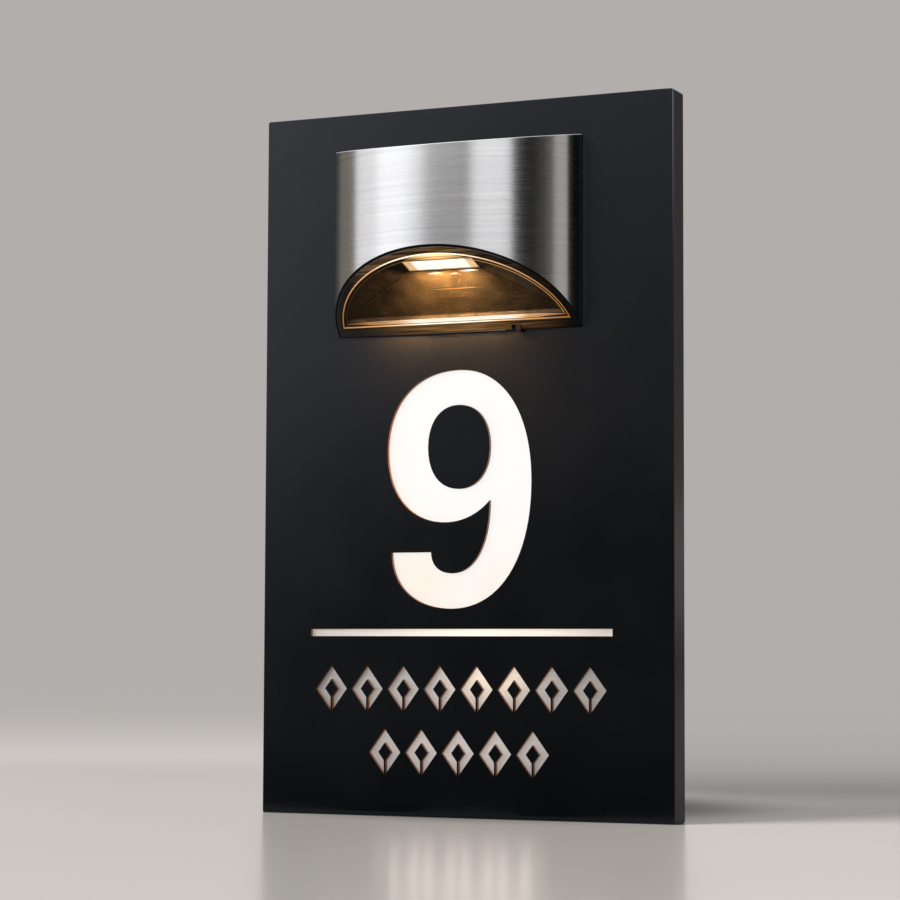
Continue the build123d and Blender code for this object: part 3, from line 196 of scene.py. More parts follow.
@dataclass(frozen=True)
class Finish(Nodes):
    """A named finish on one Principled shader."""

    name: str
    spots: ClassVar[tuple[Spot, ...]] = ()  # painted pools of the sign's own light on it, given as emission
    spot_glow: ClassVar[float] = 1.0
    spot_streaks: ClassVar[Triple | None] = None  # how often the pools' streaks vary in a metre
    spot_range: ClassVar[tuple[float, ...]] = ()  # the streaks' swing and what it gives

    @cached_property
    def material(self) -> bpy.types.Material:
        """The Blender material, new and not dressed yet."""
        material = bpy.data.materials.new(self.name)
        material.use_nodes = True
        return material

    @property
    def tree(self) -> bpy.types.NodeTree:
        """The material's node tree."""
        return self.material.node_tree

    def build(self) -> bpy.types.Material:
        """Dress the material.

        Returns:
            The material.
        """
        self.shade()
        if self.spots:
            self.light()
        return self.material

    def light(self) -> None:
        """Sum the painted pools of light, given as emission, each of which falls smoothly from its middle to nothing
        at its reach.
        """
        uneven: Any = 1.0
        if self.spot_streaks:
            uneven = self.add("MapRange", [self.streaks(self.spot_streaks), *self.spot_range])
        glow: Any = (0.0, 0.0, 0.0, 1.0)
        for x, z, reach_x, reach_z, colour in self.spots:
            moved = self.add("VectorMath", [self.place, (x, 0.0, z)], operation="SUBTRACT")
            scaled = self.add("VectorMath", [moved, (1 / reach_x, 0.0, 1 / reach_z)], operation="MULTIPLY")
            away = self.add("VectorMath", [scaled], "Value", operation="LENGTH")
            pool = self.add("MapRange", [away, 0.0, 1.0, 1.0, 0.0], **SOFT)
            share = self.add("Math", [pool, uneven], operation="MULTIPLY")
            glow = self.add("Mix", [share, glow, colour], blend_type="ADD", **TONES)
        self.dress({"Emission Color": glow, "Emission Strength": self.spot_glow})

    @abstractmethod
    def shade(self) -> None:
        """Dress the shader."""


@dataclass(frozen=True)
class PowderCoat(Finish):
    """Satin black powder coat on folded steel, sprayed and oven cured.

    To the eye it is a deep blue-black with a soft, wide highlight and the faintest orange peel.
    """

    colour: str = "#04060a"
    sheen: str = "#dae3f1"  # tint of the highlight
    roughness: float = 0.27
    specular: float = 0.36
    peel: float = 1.6 * MM  # spacing of the orange peel
    grit: float = 0.25 * MM  # spacing of the fine grain in the coat
    clouds: float = 1 / 28.0  # size of the patches of uneven gloss

    def shade(self) -> None:
        """Give a fine grain, orange peel and a slightly uneven gloss."""
        grain = self.add("TexNoise", [self.place, 1 / self.grit, 1.0])
        waves = self.add("TexNoise", [self.place, 1 / self.peel, 2.0])
        clouds = self.add("TexNoise", [self.place, 1 / self.clouds, 3.0])
        gloss = self.add("MapRange", [clouds, *MIDDLE_SWING, self.roughness - 0.02, self.roughness + 0.03])
        fine = self.add("Bump", {"Height": grain, "Strength": 0.10, "Distance": 0.02 * MM})
        normal = self.add("Bump", {"Height": waves, "Strength": 0.12, "Distance": 0.05 * MM, "Normal": fine})
        self.dress({"Base Color": self.colour, "Roughness": gloss, "Normal": normal, "IOR": 1.5})
        self.dress({"Specular IOR Level": self.specular, "Specular Tint": self.sheen})


@dataclass(frozen=True)
class ArrisCoat(PowderCoat):
    """The powder coat on the panel's front edge, which is under 0.5 mm round.

    To the eye it is the same black with a painted highlight down the right edge, a thin light line drawn since it is
    finer than a pixel.
    """

    # the painted highlight down the panel's right front edge
    spots = ((100 * MM, 178 * MM, 6 * MM, 104 * MM, "#646a71"),)


@dataclass(frozen=True)
class CutEdge(Finish):
    """Laser-cut edge of the steel sheet, heat tinted.

    To the eye it is a warm brown line round the lit shapes, with fine ridges across the sheet.
    """

    colour: str = "#9a6236"
    burnt: str = "#6e4526"
    roughness: float = 0.42
    ridge: float = 0.35 * MM
    tint: float = 1 / 220.0  # size of the patches of heat tint

    def shade(self) -> None:
        """Give the cut's striations and a tint that varies along the edge."""
        along = self.add("Mapping", {"Vector": self.place, "Scale": (1.0, 0.12, 1.0)})
        ridges = self.add("TexNoise", [along, 1 / self.ridge, 2.0])
        tint = self.add("TexNoise", [self.place, 1 / self.tint, 2.0])
        hue = self.add("Mix", [tint, self.colour, self.burnt], **TONES)
        normal = self.add("Bump", {"Height": ridges, "Strength": 0.3, "Distance": 0.03 * MM})
        self.dress({"Base Color": hue, "Metallic": 0.6, "Roughness": self.roughness, "Normal": normal})


@dataclass(frozen=True)
class OpalAcrylic(Finish):
    """Opal acrylic sheet lit from behind, whose light is painted on as an emission.

    To the eye it is an even, slightly warm white, a little peachy towards the foot and the hook where the painted
    glow falls off.
    """

    body: str = "#8d8a84"
    near: str = "#ffffff"
    far: str = "#fff0dc"
    strength: float = 0.79
    centre: Triple = (-12 * MM, 11.5 * MM, -8 * MM)  # from the brightest place of the painted glow to the origin
    reach: Pair = (30 * MM, 75 * MM)  # where the fade starts and ends
    mottle: float = 1 / 60.0

    def shade(self) -> None:
        """Give a painted glow that falls off gently towards the lower left."""
        moved = self.add("Mapping", {"Vector": self.place, "Location": self.centre}, vector_type="POINT")
        away = self.add("VectorMath", [moved], "Value", operation="LENGTH")
        fade = self.add("MapRange", [away, *self.reach, 0.0, 1.0], **SOFT)
        mottle = self.add("TexNoise", [self.place, 1 / self.mottle, 2.0])
        share = self.add("Math", [fade, mottle], operation="MULTIPLY")
        glow = self.add("Mix", [share, self.near, self.far], **TONES)
        self.dress({"Base Color": self.body, "Roughness": 0.35, "IOR": 1.49})
        self.dress({"Emission Color": glow, "Emission Strength": self.strength})


@dataclass(frozen=True)
class BrushedSteel(Finish):
    """Stainless steel brushed in one direction with a fine belt.

    To the eye it has long hairlines and a highlight that is drawn out across them.
    """

    colour: str = "#c4c5c7"
    groove: str = "#b2b3b6"  # tone in the hairlines
    roughness: float = 0.27
    anisotropy: float = 0.75
    line: float = 0.22 * MM  # spacing of the hairlines; finer real ones are drawn as coarse as they need to show
    run: float = 26 * MM  # length of a hairline
    uv_name: str = ""  # a UV map in metres whose U runs along the brushing; empty on a flat sheet brushed along X

    def shade(self) -> None:
        """Give stretched hairlines in colour, gloss and height."""
        if self.uv_name:
            place, scale = self.add("UVMap", uv_map=self.uv_name), (1 / self.run, 1 / self.line, 1.0)
            tangent = self.add("Tangent", direction_type="UV_MAP", uv_map=self.uv_name)
        else:
            place, scale = self.place, (1 / self.run, 1 / self.line, 1 / self.line)
            tangent = self.add("Tangent", direction_type="RADIAL", axis="Y")
        drawn = self.add("Mapping", {"Vector": place, "Scale": scale})
        lines = self.add("TexNoise", [drawn, 1.0, 4.0, 0.7])
        wide = self.add("TexNoise", [drawn, 0.16, 2.0, 0.6])
        both = self.add("Math", [lines, wide], operation="ADD")
        tone = self.add("MapRange", [both, 0.7, 1.3, 0.0, 1.0])
        hue = self.add("Mix", [tone, self.groove, self.colour], **TONES)
        gloss = self.add("MapRange", [lines, *SWING, self.roughness - 0.05, self.roughness + 0.06])
        normal = self.add("Bump", {"Height": lines, "Strength": 0.20, "Distance": 0.01 * MM})
        self.dress({"Base Color": hue, "Metallic": 1.0, "Roughness": gloss, "Normal": normal})
        self.dress({"Anisotropic": self.anisotropy, "Anisotropic Rotation": 0.25, "Tangent": tangent})


@dataclass(frozen=True)
class SpillSteel(BrushedSteel):
    """The same brushed sheet behind the bar and the ornament, where the light from the number's box that spills over
    it is painted on.

    To the eye its middle has a painted cream-white glow, streaked along the brushing, that fades to satin grey at
    the sides.
    """

    # painted pools of the spilled light, as emission
    spots = (
        (8 * MM, -78 * MM, 166 * MM, 12 * MM, "#ddcfc1"),
        (16 * MM, -78 * MM, 66 * MM, 9 * MM, "#847a6e"),
        (14 * MM, -97 * MM, 34 * MM, 17 * MM, "#cdb598"),
        (2 * MM, -106 * MM, 150 * MM, 50 * MM, "#a39a92"),
        (-2 * MM, -133 * MM, 110 * MM, 30 * MM, "#8e8680"),
    )
    spot_streaks = (60.0, 1.0, 2500.0)
    spot_range = (*SWING, 0.78, 1.0)


@dataclass(frozen=True)
class PlatedMetal(Finish):
    """Small turned or stamped metal parts: zinc, nickel, brass or plain stainless steel.

    To the eye they are bright with a faint machining haze and slightly uneven plating.
    """

    colour: str = "#b9babb"
    dull: str = "#8e8f92"
    roughness: float = 0.32
    haze: float = 0.8 * MM  # size of the clouds in the plating
    grain: float = 0.12 * MM

    def shade(self) -> None:
        """Give a clouded tone and a soft machining grain."""
        clouds = self.add("TexNoise", [self.place, 1 / self.haze, 3.0])
        grain = self.add("TexNoise", [self.place, 1 / self.grain, 1.0])
        hue = self.add("Mix", [clouds, self.dull, self.colour], **TONES)
        gloss = self.add("MapRange", [clouds, *SWING, self.roughness + 0.08, self.roughness - 0.04])
        normal = self.add("Bump", {"Height": grain, "Strength": 0.12, "Distance": 0.01 * MM})
        self.dress({"Base Color": hue, "Metallic": 1.0, "Roughness": gloss, "Normal": normal})


@dataclass(frozen=True)
class GalvanisedSteel(Finish):
    """Hot-dip galvanised sheet.

    To the eye it is a cool matt grey broken into spangles of slightly different tone.
    """

    colour: str = "#a6abaf"
    dull: str = "#8b9196"
    gloss: Pair = (0.42, 0.62)
    spangle: float = 6.0 * MM  # size of one zinc crystal
    ragged: Pair = (2.5 * MM, 1.2 * MM)  # size and reach of the bends in its edges
    grain: float = 0.3 * MM

    def shade(self) -> None:
        """Give the spangle its own tone and gloss in each cell."""
        size, reach = self.ragged
        warp = self.add("TexNoise", [self.place, 1 / size, 2.0], "Color")
        bent = self.add("VectorMath", [warp, reach], operation="SCALE")
        moved = self.add("VectorMath", [self.place, bent], operation="ADD")
        cells = self.add("TexVoronoi", [moved, 1 / self.spangle], "Color")
        grey = self.add("RGBToBW", [cells])
        hue = self.add("Mix", [grey, self.dull, self.colour], **TONES)
        gloss = self.add("MapRange", [grey, 0.0, 1.0, *self.gloss])
        grain = self.add("TexNoise", [self.place, 1 / self.grain, 2.0])
        normal = self.add("Bump", {"Height": grain, "Strength": 0.15, "Distance": 0.02 * MM})
        self.dress({"Base Color": hue, "Metallic": 0.9, "Roughness": gloss, "Normal": normal})


@dataclass(frozen=True)
class MouldedPlastic(Finish):
    """Injection-moulded plastic with a fine spark-eroded grain.

    To the eye it is one even colour with a soft sheen and a texture like very fine sand.
    """

    colour: str = "#141312"
    shade_to: str = "#0d0c0c"
    roughness: float = 0.45
    grain: float = 0.3 * MM
    depth: float = 0.25
    coat: float = 0.0
    drift: float = 1 / 70.0  # size of the patches of slightly different colour

    def shade(self) -> None:
        """Give the mould's grain and a faint drift in colour."""
        sand = self.add("TexNoise", [self.place, 1 / self.grain, 2.0])
        drift = self.add("TexNoise", [self.place, 1 / self.drift, 2.0])
        hue = self.add("Mix", [drift, self.shade_to, self.colour], **TONES)
        gloss = self.add("MapRange", [sand, *SWING, self.roughness - 0.05, self.roughness + 0.07])
        normal = self.add("Bump", {"Height": sand, "Strength": self.depth, "Distance": 0.02 * MM})
        self.dress({"Base Color": hue, "Roughness": gloss, "Normal": normal, "IOR": 1.5})
        self.dress({"Coat Weight": self.coat, "Coat Roughness": 0.15})


@dataclass(frozen=True)
class RimPlastic(MouldedPlastic):
    """Satin black moulding round the lamp's mouth.

    To the eye it is black with painted brown streaks of the lamp's light where it spills on it.
    """

    # painted pools of the lamp's light on the rim
    spots = (
        (2 * MM, 59.0 * MM, 56 * MM, 5 * MM, "#96693a"),
        (-26 * MM, 84 * MM, 28 * MM, 12 * MM, "#7c5c3a"),
        (4 * MM, 92 * MM, 28 * MM, 9 * MM, "#8e683e"),
        (30 * MM, 80 * MM, 34 * MM, 22 * MM, "#2e241a"),
    )
    spot_streaks = (45.0, 1500.0, 1500.0)
    spot_range = (0.40, 0.62, 0.12, 1.0)


@dataclass(frozen=True)
class ChamberLacquer(Finish):
    """Dark bronze satin moulding inside the light chamber.

    To the eye it is near black where no light falls and turns amber in a painted pool of the lamp's light, with
    scuffs and specks.
    """

    colour: str = "#19150d"
    deep: str = "#0f0c07"
    fleck: str = "#5a452c"
    roughness: float = 0.38
    scuff: float = 0.5 * MM
    speck: float = 0.6 * MM
    clouds: float = 1 / 150.0
    scuffed: tuple[float, ...] = (0.60, 0.74, 0.0, 0.30)  # swing of the noise and the share of fleck that it gives
    specked: tuple[float, ...] = (0.66, 0.72, 0.0, 0.6)
    spots = (
        (FACE_X + 1.0 * MM, 88.6 * MM, 20 * MM, 3.4 * MM, "#f0c080"),
        (FACE_X - 4.6 * MM, 82.1 * MM, 4.6 * MM, 0.45 * MM, "#fff9ee"),
        (FACE_X + 4.5 * MM, 81.6 * MM, 2.6 * MM, 0.45 * MM, "#fbe9cb"),
        (FACE_X + 11.9 * MM, 82.6 * MM, 5.6 * MM, 0.45 * MM, "#fff9ee"),
        (FACE_X + 4.4 * MM, 75.4 * MM, 15.0 * MM, 0.20 * MM, "#8a6232"),
    )  # a painted pool of the window's light, painted reflections of the lamps and a painted highlight along a moulding line, drawn since they are finer than the surface
    spot_glow = 2.0

    def shade(self) -> None:
        """Give slanting scuffs, specks and a soft mottle."""
        slant = {"Vector": self.place, "Rotation": (0.0, 0.9, 0.0), "Scale": (0.05, 0.6, 1.0)}
        wipes = self.add("TexNoise", [self.add("Mapping", slant), 1 / self.scuff, 3.0])
        scuffs = self.add("MapRange", [wipes, *self.scuffed])
        clouds = self.add("TexNoise", [self.place, 1 / self.clouds, 3.0])
        specks = self.add("TexNoise", [self.place, 1 / self.speck, 1.0])
        bright = self.add("MapRange", [specks, *self.specked])
        even = self.add("MapRange", [clouds, *MIDDLE_SWING, 0.0, 1.0])
        hue = self.add("Mix", [even, self.deep, self.colour], **TONES)
        marks = self.add("Math", [bright, scuffs], operation="MAXIMUM")
        flecked = self.add("Mix", [marks, hue, self.fleck], **TONES)
        gloss = self.add("MapRange", [clouds, *SWING, self.roughness - 0.05, self.roughness + 0.08])
        normal = self.add("Bump", {"Height": clouds, "Strength": 0.1, "Distance": 0.1 * MM})
        self.dress({"Base Color": flecked, "Roughness": gloss, "Normal": normal, "Specular IOR Level": 0.22})


@dataclass(frozen=True)
class GiltEdgePaintedGlow(Finish):
    """Thin bright edge of the light chamber, where the lamp's light on it is painted as a glow.

    To the eye it is a painted cream-white highlight next to the lamp that turns orange away from it.
    """

    middle: float = 4 * MM
    reach: float = 62 * MM
    near: str = "#ffe9c6"
    far: str = "#8e5a2a"
    strength: float = 0.8
    core: float = 0.10  # share of the reach that stays at its brightest
    warm: str | None = None  # tone between the two, when the light passes through one
    metal: str = "#6a4c28"
    streaked: Triple = (140.0, 2000.0, 2000.0)  # how often the streaks vary in a metre
    jitter: Pair = (0.88, 1.15)  # how much they shorten and lengthen the reach

    def shade(self) -> None:
        """Give gilt metal with a painted glow that falls off along the sign's width."""
        across = self.add("SeparateXYZ", [self.place], "X")
        moved = self.add("Math", [across, self.middle], operation="SUBTRACT")
        away = self.add("Math", [moved], operation="ABSOLUTE")
        jitter = self.add("MapRange", [self.streaks(self.streaked), *SWING, *self.jitter])
        uneven = self.add("Math", [away, jitter], operation="MULTIPLY")
        share = self.add("MapRange", [uneven, self.core * self.reach, self.reach, 0.0, 1.0])
        glow = self.add("Mix", [share, self.warm or self.near, self.far], **TONES)
        if self.warm:
            sooner = self.add("Math", [share, 3.0], operation="MULTIPLY", use_clamp=True)
            glow = self.add("Mix", [sooner, self.near, glow], **TONES)
        self.dress({"Base Color": self.metal, "Metallic": 0.8, "Roughness": 0.35})
        self.dress({"Emission Color": glow, "Emission Strength": self.strength})


@dataclass(frozen=True)
class WashedLens(Finish):
    """Face of the clear window, washed out by the four lamps close behind it; their light on it is painted as a
    glow.

    To the eye it is white over the lamps, with thin cream gaps between them, and a streaked gold glow at its two
    ends.
    """

    pitch: float = 7.6 * MM
    half: float = 14.2 * MM
    gap: Pair = (0.25 * MM, 0.8 * MM)  # from its middle to its soft edge
    body: str = "#8f8a80"
    lamp: str = "#fffaf0"
    cream: str = "#f0cf9a"
    # tones of the painted glow at the two ends
    gold: tuple[str, str] = ("#9c6c34", "#f2cf98")
    streaked: Triple = (100.0, 1200.0, 1200.0)

    def shade(self) -> None:
        """Paint the four lamps' glow by the distance to the nearest gap, and the ends' glow by the distance to the
        middle.
        """
        centred = self.add("VectorMath", [self.place, (FACE_X, 0.0, 0.0)], operation="SUBTRACT")
        across = self.add("SeparateXYZ", [centred], "X")
        away = self.add("Math", [across], operation="ABSOLUTE")
        to_gap = self.add("Math", [across, self.pitch / 2], operation="PINGPONG")
        gap = self.add("MapRange", [to_gap, *self.gap, 1.0, 0.0])
        end = self.add("MapRange", [away, 0.8 * self.half, self.half, 0.0, 1.0], **SOFT)
        gold = self.add("Mix", [self.streaks(self.streaked), *self.gold], **TONES)
        dim = self.add("Math", [gap, 0.6], operation="MULTIPLY")
        lamps = self.add("Mix", [dim, self.lamp, self.cream], **TONES)
        glow = self.add("Mix", [end, lamps, gold], **TONES)
        self.dress({"Base Color": self.body, "Roughness": 0.2, "IOR": 1.58})
        self.dress({"Emission Color": glow, "Emission Strength": 1.0})


@dataclass(frozen=True)
class LitBoard(Finish):
    """White circuit board close behind its lamps, washed out by their light, which is painted on as a glow.

    To the eye its middle glows white and its two ends glow a streaked gold.
    """

    middle: Triple = (FACE_X, -38 * MM, 86 * MM)
    squash: Triple = (1.0, 0.2, 0.2)  # distance counts mostly along the board
    reach: float = 19 * MM
    body: str = "#d9d6cf"
    white: str = "#fff3dd"
    # tones of the painted glow at the two ends
    gold: tuple[str, str] = ("#a8783e", "#e6bd83")
    streaked: Triple = (90.0, 900.0, 900.0)
    strength: float = 0.85

    def shade(self) -> None:
        """Give a painted glow that turns from white to gold along the board."""
        moved = self.add("VectorMath", [self.place, self.middle], operation="SUBTRACT")
        flat = self.add("VectorMath", [moved, self.squash], operation="MULTIPLY")
        away = self.add("VectorMath", [flat], "Value", operation="LENGTH")
        share = self.add("MapRange", [away, 0.6 * self.reach, self.reach, 0.0, 1.0], **SOFT)
        gold = self.add("Mix", [self.streaks(self.streaked), *self.gold], **TONES)
        glow = self.add("Mix", [share, self.white, gold], **TONES)
        self.dress({"Base Color": self.body, "Roughness": 0.4})
        self.dress({"Emission Color": glow, "Emission Strength": self.strength})


@dataclass(frozen=True)
class ClearPlastic(Finish):
    """Clear polycarbonate or glass, polished.

    To the eye it is water clear with a crisp edge highlight.
    """

    ior: float = 1.58
    tint: str = "#fdfbf6"
    roughness: float = 0.03
    wipe: float = 1 / 90.0  # size of the patches of wipe haze

    def shade(self) -> None:
        """Give a clear body with a faint wipe haze."""
        haze = self.add("TexNoise", [self.place, 1 / self.wipe, 3.0])
        gloss = self.add("MapRange", [haze, 0.4, 0.7, self.roughness, self.roughness + 0.05])
        self.dress({"Base Color": self.tint, "Roughness": gloss, "IOR": self.ior, "Transmission Weight": 1.0})


@dataclass(frozen=True)
class LedChip(Finish):
    """Warm white phosphor on a ceramic base, lit.

    To the eye it is a small patch of warm light with a yellow body.
    """

    colour: str = "#f2cf6a"
    light_tones: tuple[str, str] = ("#ffe2b0", "#fff2d8")
    strength: float = 6.0
    grain: float = 0.6 * MM

    def shade(self) -> None:
        """Give a phosphor that glows a little unevenly."""
        grain = self.add("TexNoise", [self.place, 1 / self.grain, 2.0])
        glow = self.add("Mix", [grain, *self.light_tones], **TONES)
        self.dress({"Base Color": self.colour, "Roughness": 0.5})
        self.dress({"Emission Color": glow, "Emission Strength": self.strength})


@dataclass(frozen=True)
class CircuitBoard(Finish):
    """Glass-fibre board under solder mask.

    To the eye it is glossy with faint copper tracks under the colour.
    """

    colour: str = "#17603a"
    track: str = "#2b7a4c"
    pitch: float = 1.6 * MM  # spacing of the tracks
    weave: float = 0.4 * MM
    gloss: Pair = (0.25, 0.38)

    def shade(self) -> None:
        """Give rows of tracks, raised a little, with a fine weave under them."""
        upright = self.add("Mapping", {"Vector": self.place, "Rotation": (pi / 2, 0.0, 0.0)})
        rows = {"Vector": upright, "Scale": 1 / (4 * self.pitch), "Mortar Size": 0.03, "Color1": "#ffffff"}
        bricks = self.add("TexBrick", {**rows, "Color2": (0.8, 0.8, 0.8, 1), "Mortar": "#000000"}, "Fac")
        weave = self.add("TexNoise", [self.place, 1 / self.weave, 1.0])
        hue = self.add("Mix", [bricks, self.colour, self.track], **TONES)
        normal = self.add("Bump", {"Height": bricks, "Strength": 0.3, "Distance": 0.03 * MM})
        gloss = self.add("MapRange", [weave, *SWING, *self.gloss])
        self.dress({"Base Color": hue, "Roughness": gloss, "Normal": normal, "IOR": 1.5})


@dataclass(frozen=True)
class SolarSilicon(Finish):
    """Polycrystalline solar cell under its anti-reflection layer.

    To the eye it is deep blue with crystal facets, fine silver fingers and wider busbars.
    """

    colour: str = "#10204a"
    facet: str = "#1d3a78"
    silver: str = "#b8bec6"
    crystal: float = 3.5 * MM
    lines: tuple[tuple[str, float, float], ...] = (("Y", 1.9 * MM, 0.12), ("X", 18.5 * MM, 0.075))
    # the fine fingers and the wide busbars: the axis that counts them, their spacing and the share that they cover

    def shade(self) -> None:
        """Give crystal facets and a grid of printed silver."""
        cells = self.add("TexVoronoi", [self.place, 1 / self.crystal], "Color")
        grey = self.add("RGBToBW", [cells])
        blue = self.add("Mix", [grey, self.colour, self.facet], **TONES)
        marks = []
        for axis, spacing, share in self.lines:
            along = self.add("SeparateXYZ", [self.place], axis)
            turns = self.add("Math", [along, 1 / spacing], operation="MULTIPLY")
            part = self.add("Math", [turns], operation="FRACT")
            marks.append(self.add("Math", [part, share], operation="LESS_THAN"))
        silver = self.add("Math", marks, operation="MAXIMUM")
        hue = self.add("Mix", [silver, blue, self.silver], **TONES)
        self.dress({"Base Color": hue, "Metallic": silver, "Roughness": 0.3})


@dataclass(frozen=True)
class FoamSheet(Finish):
    """Closed-cell foam or soft rubber.

    To the eye it is a dull black that swallows light, with tiny open cells.
    """

    colour: str = "#131313"
    hollow: str = "#0a0a0a"
    cell: float = 0.5 * MM
    roughness: float = 0.85

    def shade(self) -> None:
        """Give the cell texture."""
        cells = self.add("TexVoronoi", [self.place, 1 / self.cell], "Distance")
        hue = self.add("Mix", [cells, self.hollow, self.colour], **TONES)
        normal = self.add("Bump", {"Height": cells, "Strength": 0.4, "Distance": 0.05 * MM})
        self.dress({"Base Color": hue, "Roughness": self.roughness, "Normal": normal})


@dataclass(frozen=True)
class FloorCard(Finish):
    """Pale warm-grey laminate that the sign stands on; far off it takes the backdrop's tone.

    To the eye it is smooth and faintly glossy, so it mirrors the sign as a soft blur. A painted shadow darkens it
    behind the sign.
    """

    # painted light: the floor is lighter towards the camera's right than towards its left
    left: str = "#cecac7"
    right: str = "#e8e3df"
    backdrop: str = "#b0adaa"
    # emitted tones of the floor behind the sign; the darker right one is a painted shadow
    behind_left: str = "#cdc7c2"
    painted_shade_behind_right: str = "#8e8b89"
    aside: Triple = (0.914, 0.406, 0.0)  # from the camera's left to its right
    behind: Triple = (-0.406, 0.914, 0.0)  # away from the camera
    sides: Pair = (-0.16, 0.16)  # where the left's tones end and the right's are reached
    near: float = 0.36
    near_right: float = -0.04  # on the camera's right the painted shadow's tone sets in sooner
    turn: float = 0.72
    turn_right: float = 0.25
    far: float = 5.0
    drift: float = 1 / 3.0  # size of the patches of uneven gloss
    gloss: Pair = (0.28, 0.33)
    painted_shadow_tone: str = "#4e4c4a"
    painted_shadow_at: Triple = (0.03, 0.085, 0.0)  # middle of the painted shadow of the sign, across and behind
    painted_shadow_size: Pair = (0.14, 0.155)
    painted_shadow_depth: float = 0.85

    def shade(self) -> None:
        """Give a soft gloss near the sign, the backdrop's own tone far off and a painted shadow behind the sign."""
        back = self.add("VectorMath", [self.place, self.behind], "Value", operation="DOT_PRODUCT")
        across = self.add("VectorMath", [self.place, self.aside], "Value", operation="DOT_PRODUCT")
        side = self.add("MapRange", [across, *self.sides, 0.0, 1.0], **SOFT)
        start = self.add("MapRange", [side, 0.0, 1.0, self.near, self.near_right])
        stop = self.add("MapRange", [side, 0.0, 1.0, self.turn, self.turn_right])
        share = self.add("MapRange", [back, start, stop, 0.0, 1.0], **SOFT)
        away = self.add("Math", [back, 0.5 * self.turn_right], operation="MAXIMUM")
        nearness = self.add("Math", [1.0, away], operation="DIVIDE")
        first = self.add("Math", [1.0, stop], operation="DIVIDE")
        beyond = self.add("MapRange", [nearness, first, 1 / self.far, 0.0, 1.0], **SOFT)
        behind = self.add("Mix", [side, self.behind_left, self.painted_shade_behind_right], **TONES)
        tone = self.add("Mix", [beyond, behind, self.backdrop], **TONES)
        distant = self.add("Emission", {"Color": tone, "Strength": 1.0})
        drift = self.add("TexNoise", [self.place, 1 / self.drift, 2.0])
        gloss = self.add("MapRange", [drift, *SWING, *self.gloss])
        body = self.add("Mix", [side, self.left, self.right], **TONES)
        self.dress({"Base Color": body, "Roughness": gloss, "IOR": 1.5, "Coat Weight": 0.7, "Coat Roughness": 0.17})
        floor = self.add("MixShader", [share, self.tree.nodes["Principled BSDF"].outputs[0], distant])
        # the painted shadow of the sign: a dark emitted patch behind it
        spot = self.add("CombineXYZ", [across, back])
        offset = self.add("VectorMath", [spot, self.painted_shadow_at], operation="SUBTRACT")
        width, length = self.painted_shadow_size
        scaled = self.add("VectorMath", [offset, (1 / width, 1 / length, 0.0)], operation="MULTIPLY")
        distance = self.add("VectorMath", [scaled], "Value", operation="LENGTH")
        depth = self.add("MapRange", [distance, 0.4, 1.0, self.painted_shadow_depth, 0.0], **SOFT)
        dark = self.add("Emission", {"Color": self.painted_shadow_tone, "Strength": 1.0})
        self.clear_from_behind(self.add("MixShader", [depth, floor, dark]))


@dataclass(frozen=True)
class CardPaint(Finish):
    """Flock on the studio's cards, black or a lit grey.

    To the eye it gives back almost no light, or one even tone.
    """

    one_sided: bool = False  # whether the card is clear from behind
    tone: str = "#000000"  # what it gives back by itself
    naps: tuple[str, str] = ("#020202", "#060606")
    nap: float = 1 / 40.0

    def shade(self) -> None:
        """Give a nap that is a shade lighter in places."""
        nap = self.add("TexNoise", [self.place, 1 / self.nap])
        hue = self.add("Mix", [nap, *self.naps], **TONES)
        self.dress({"Base Color": hue, "Roughness": 1.0, "Specular IOR Level": 0.0})
        self.dress({"Emission Color": self.tone, "Emission Strength": 1.0})
        if self.one_sided:
            self.clear_from_behind(self.tree.nodes["Principled BSDF"].outputs[0])


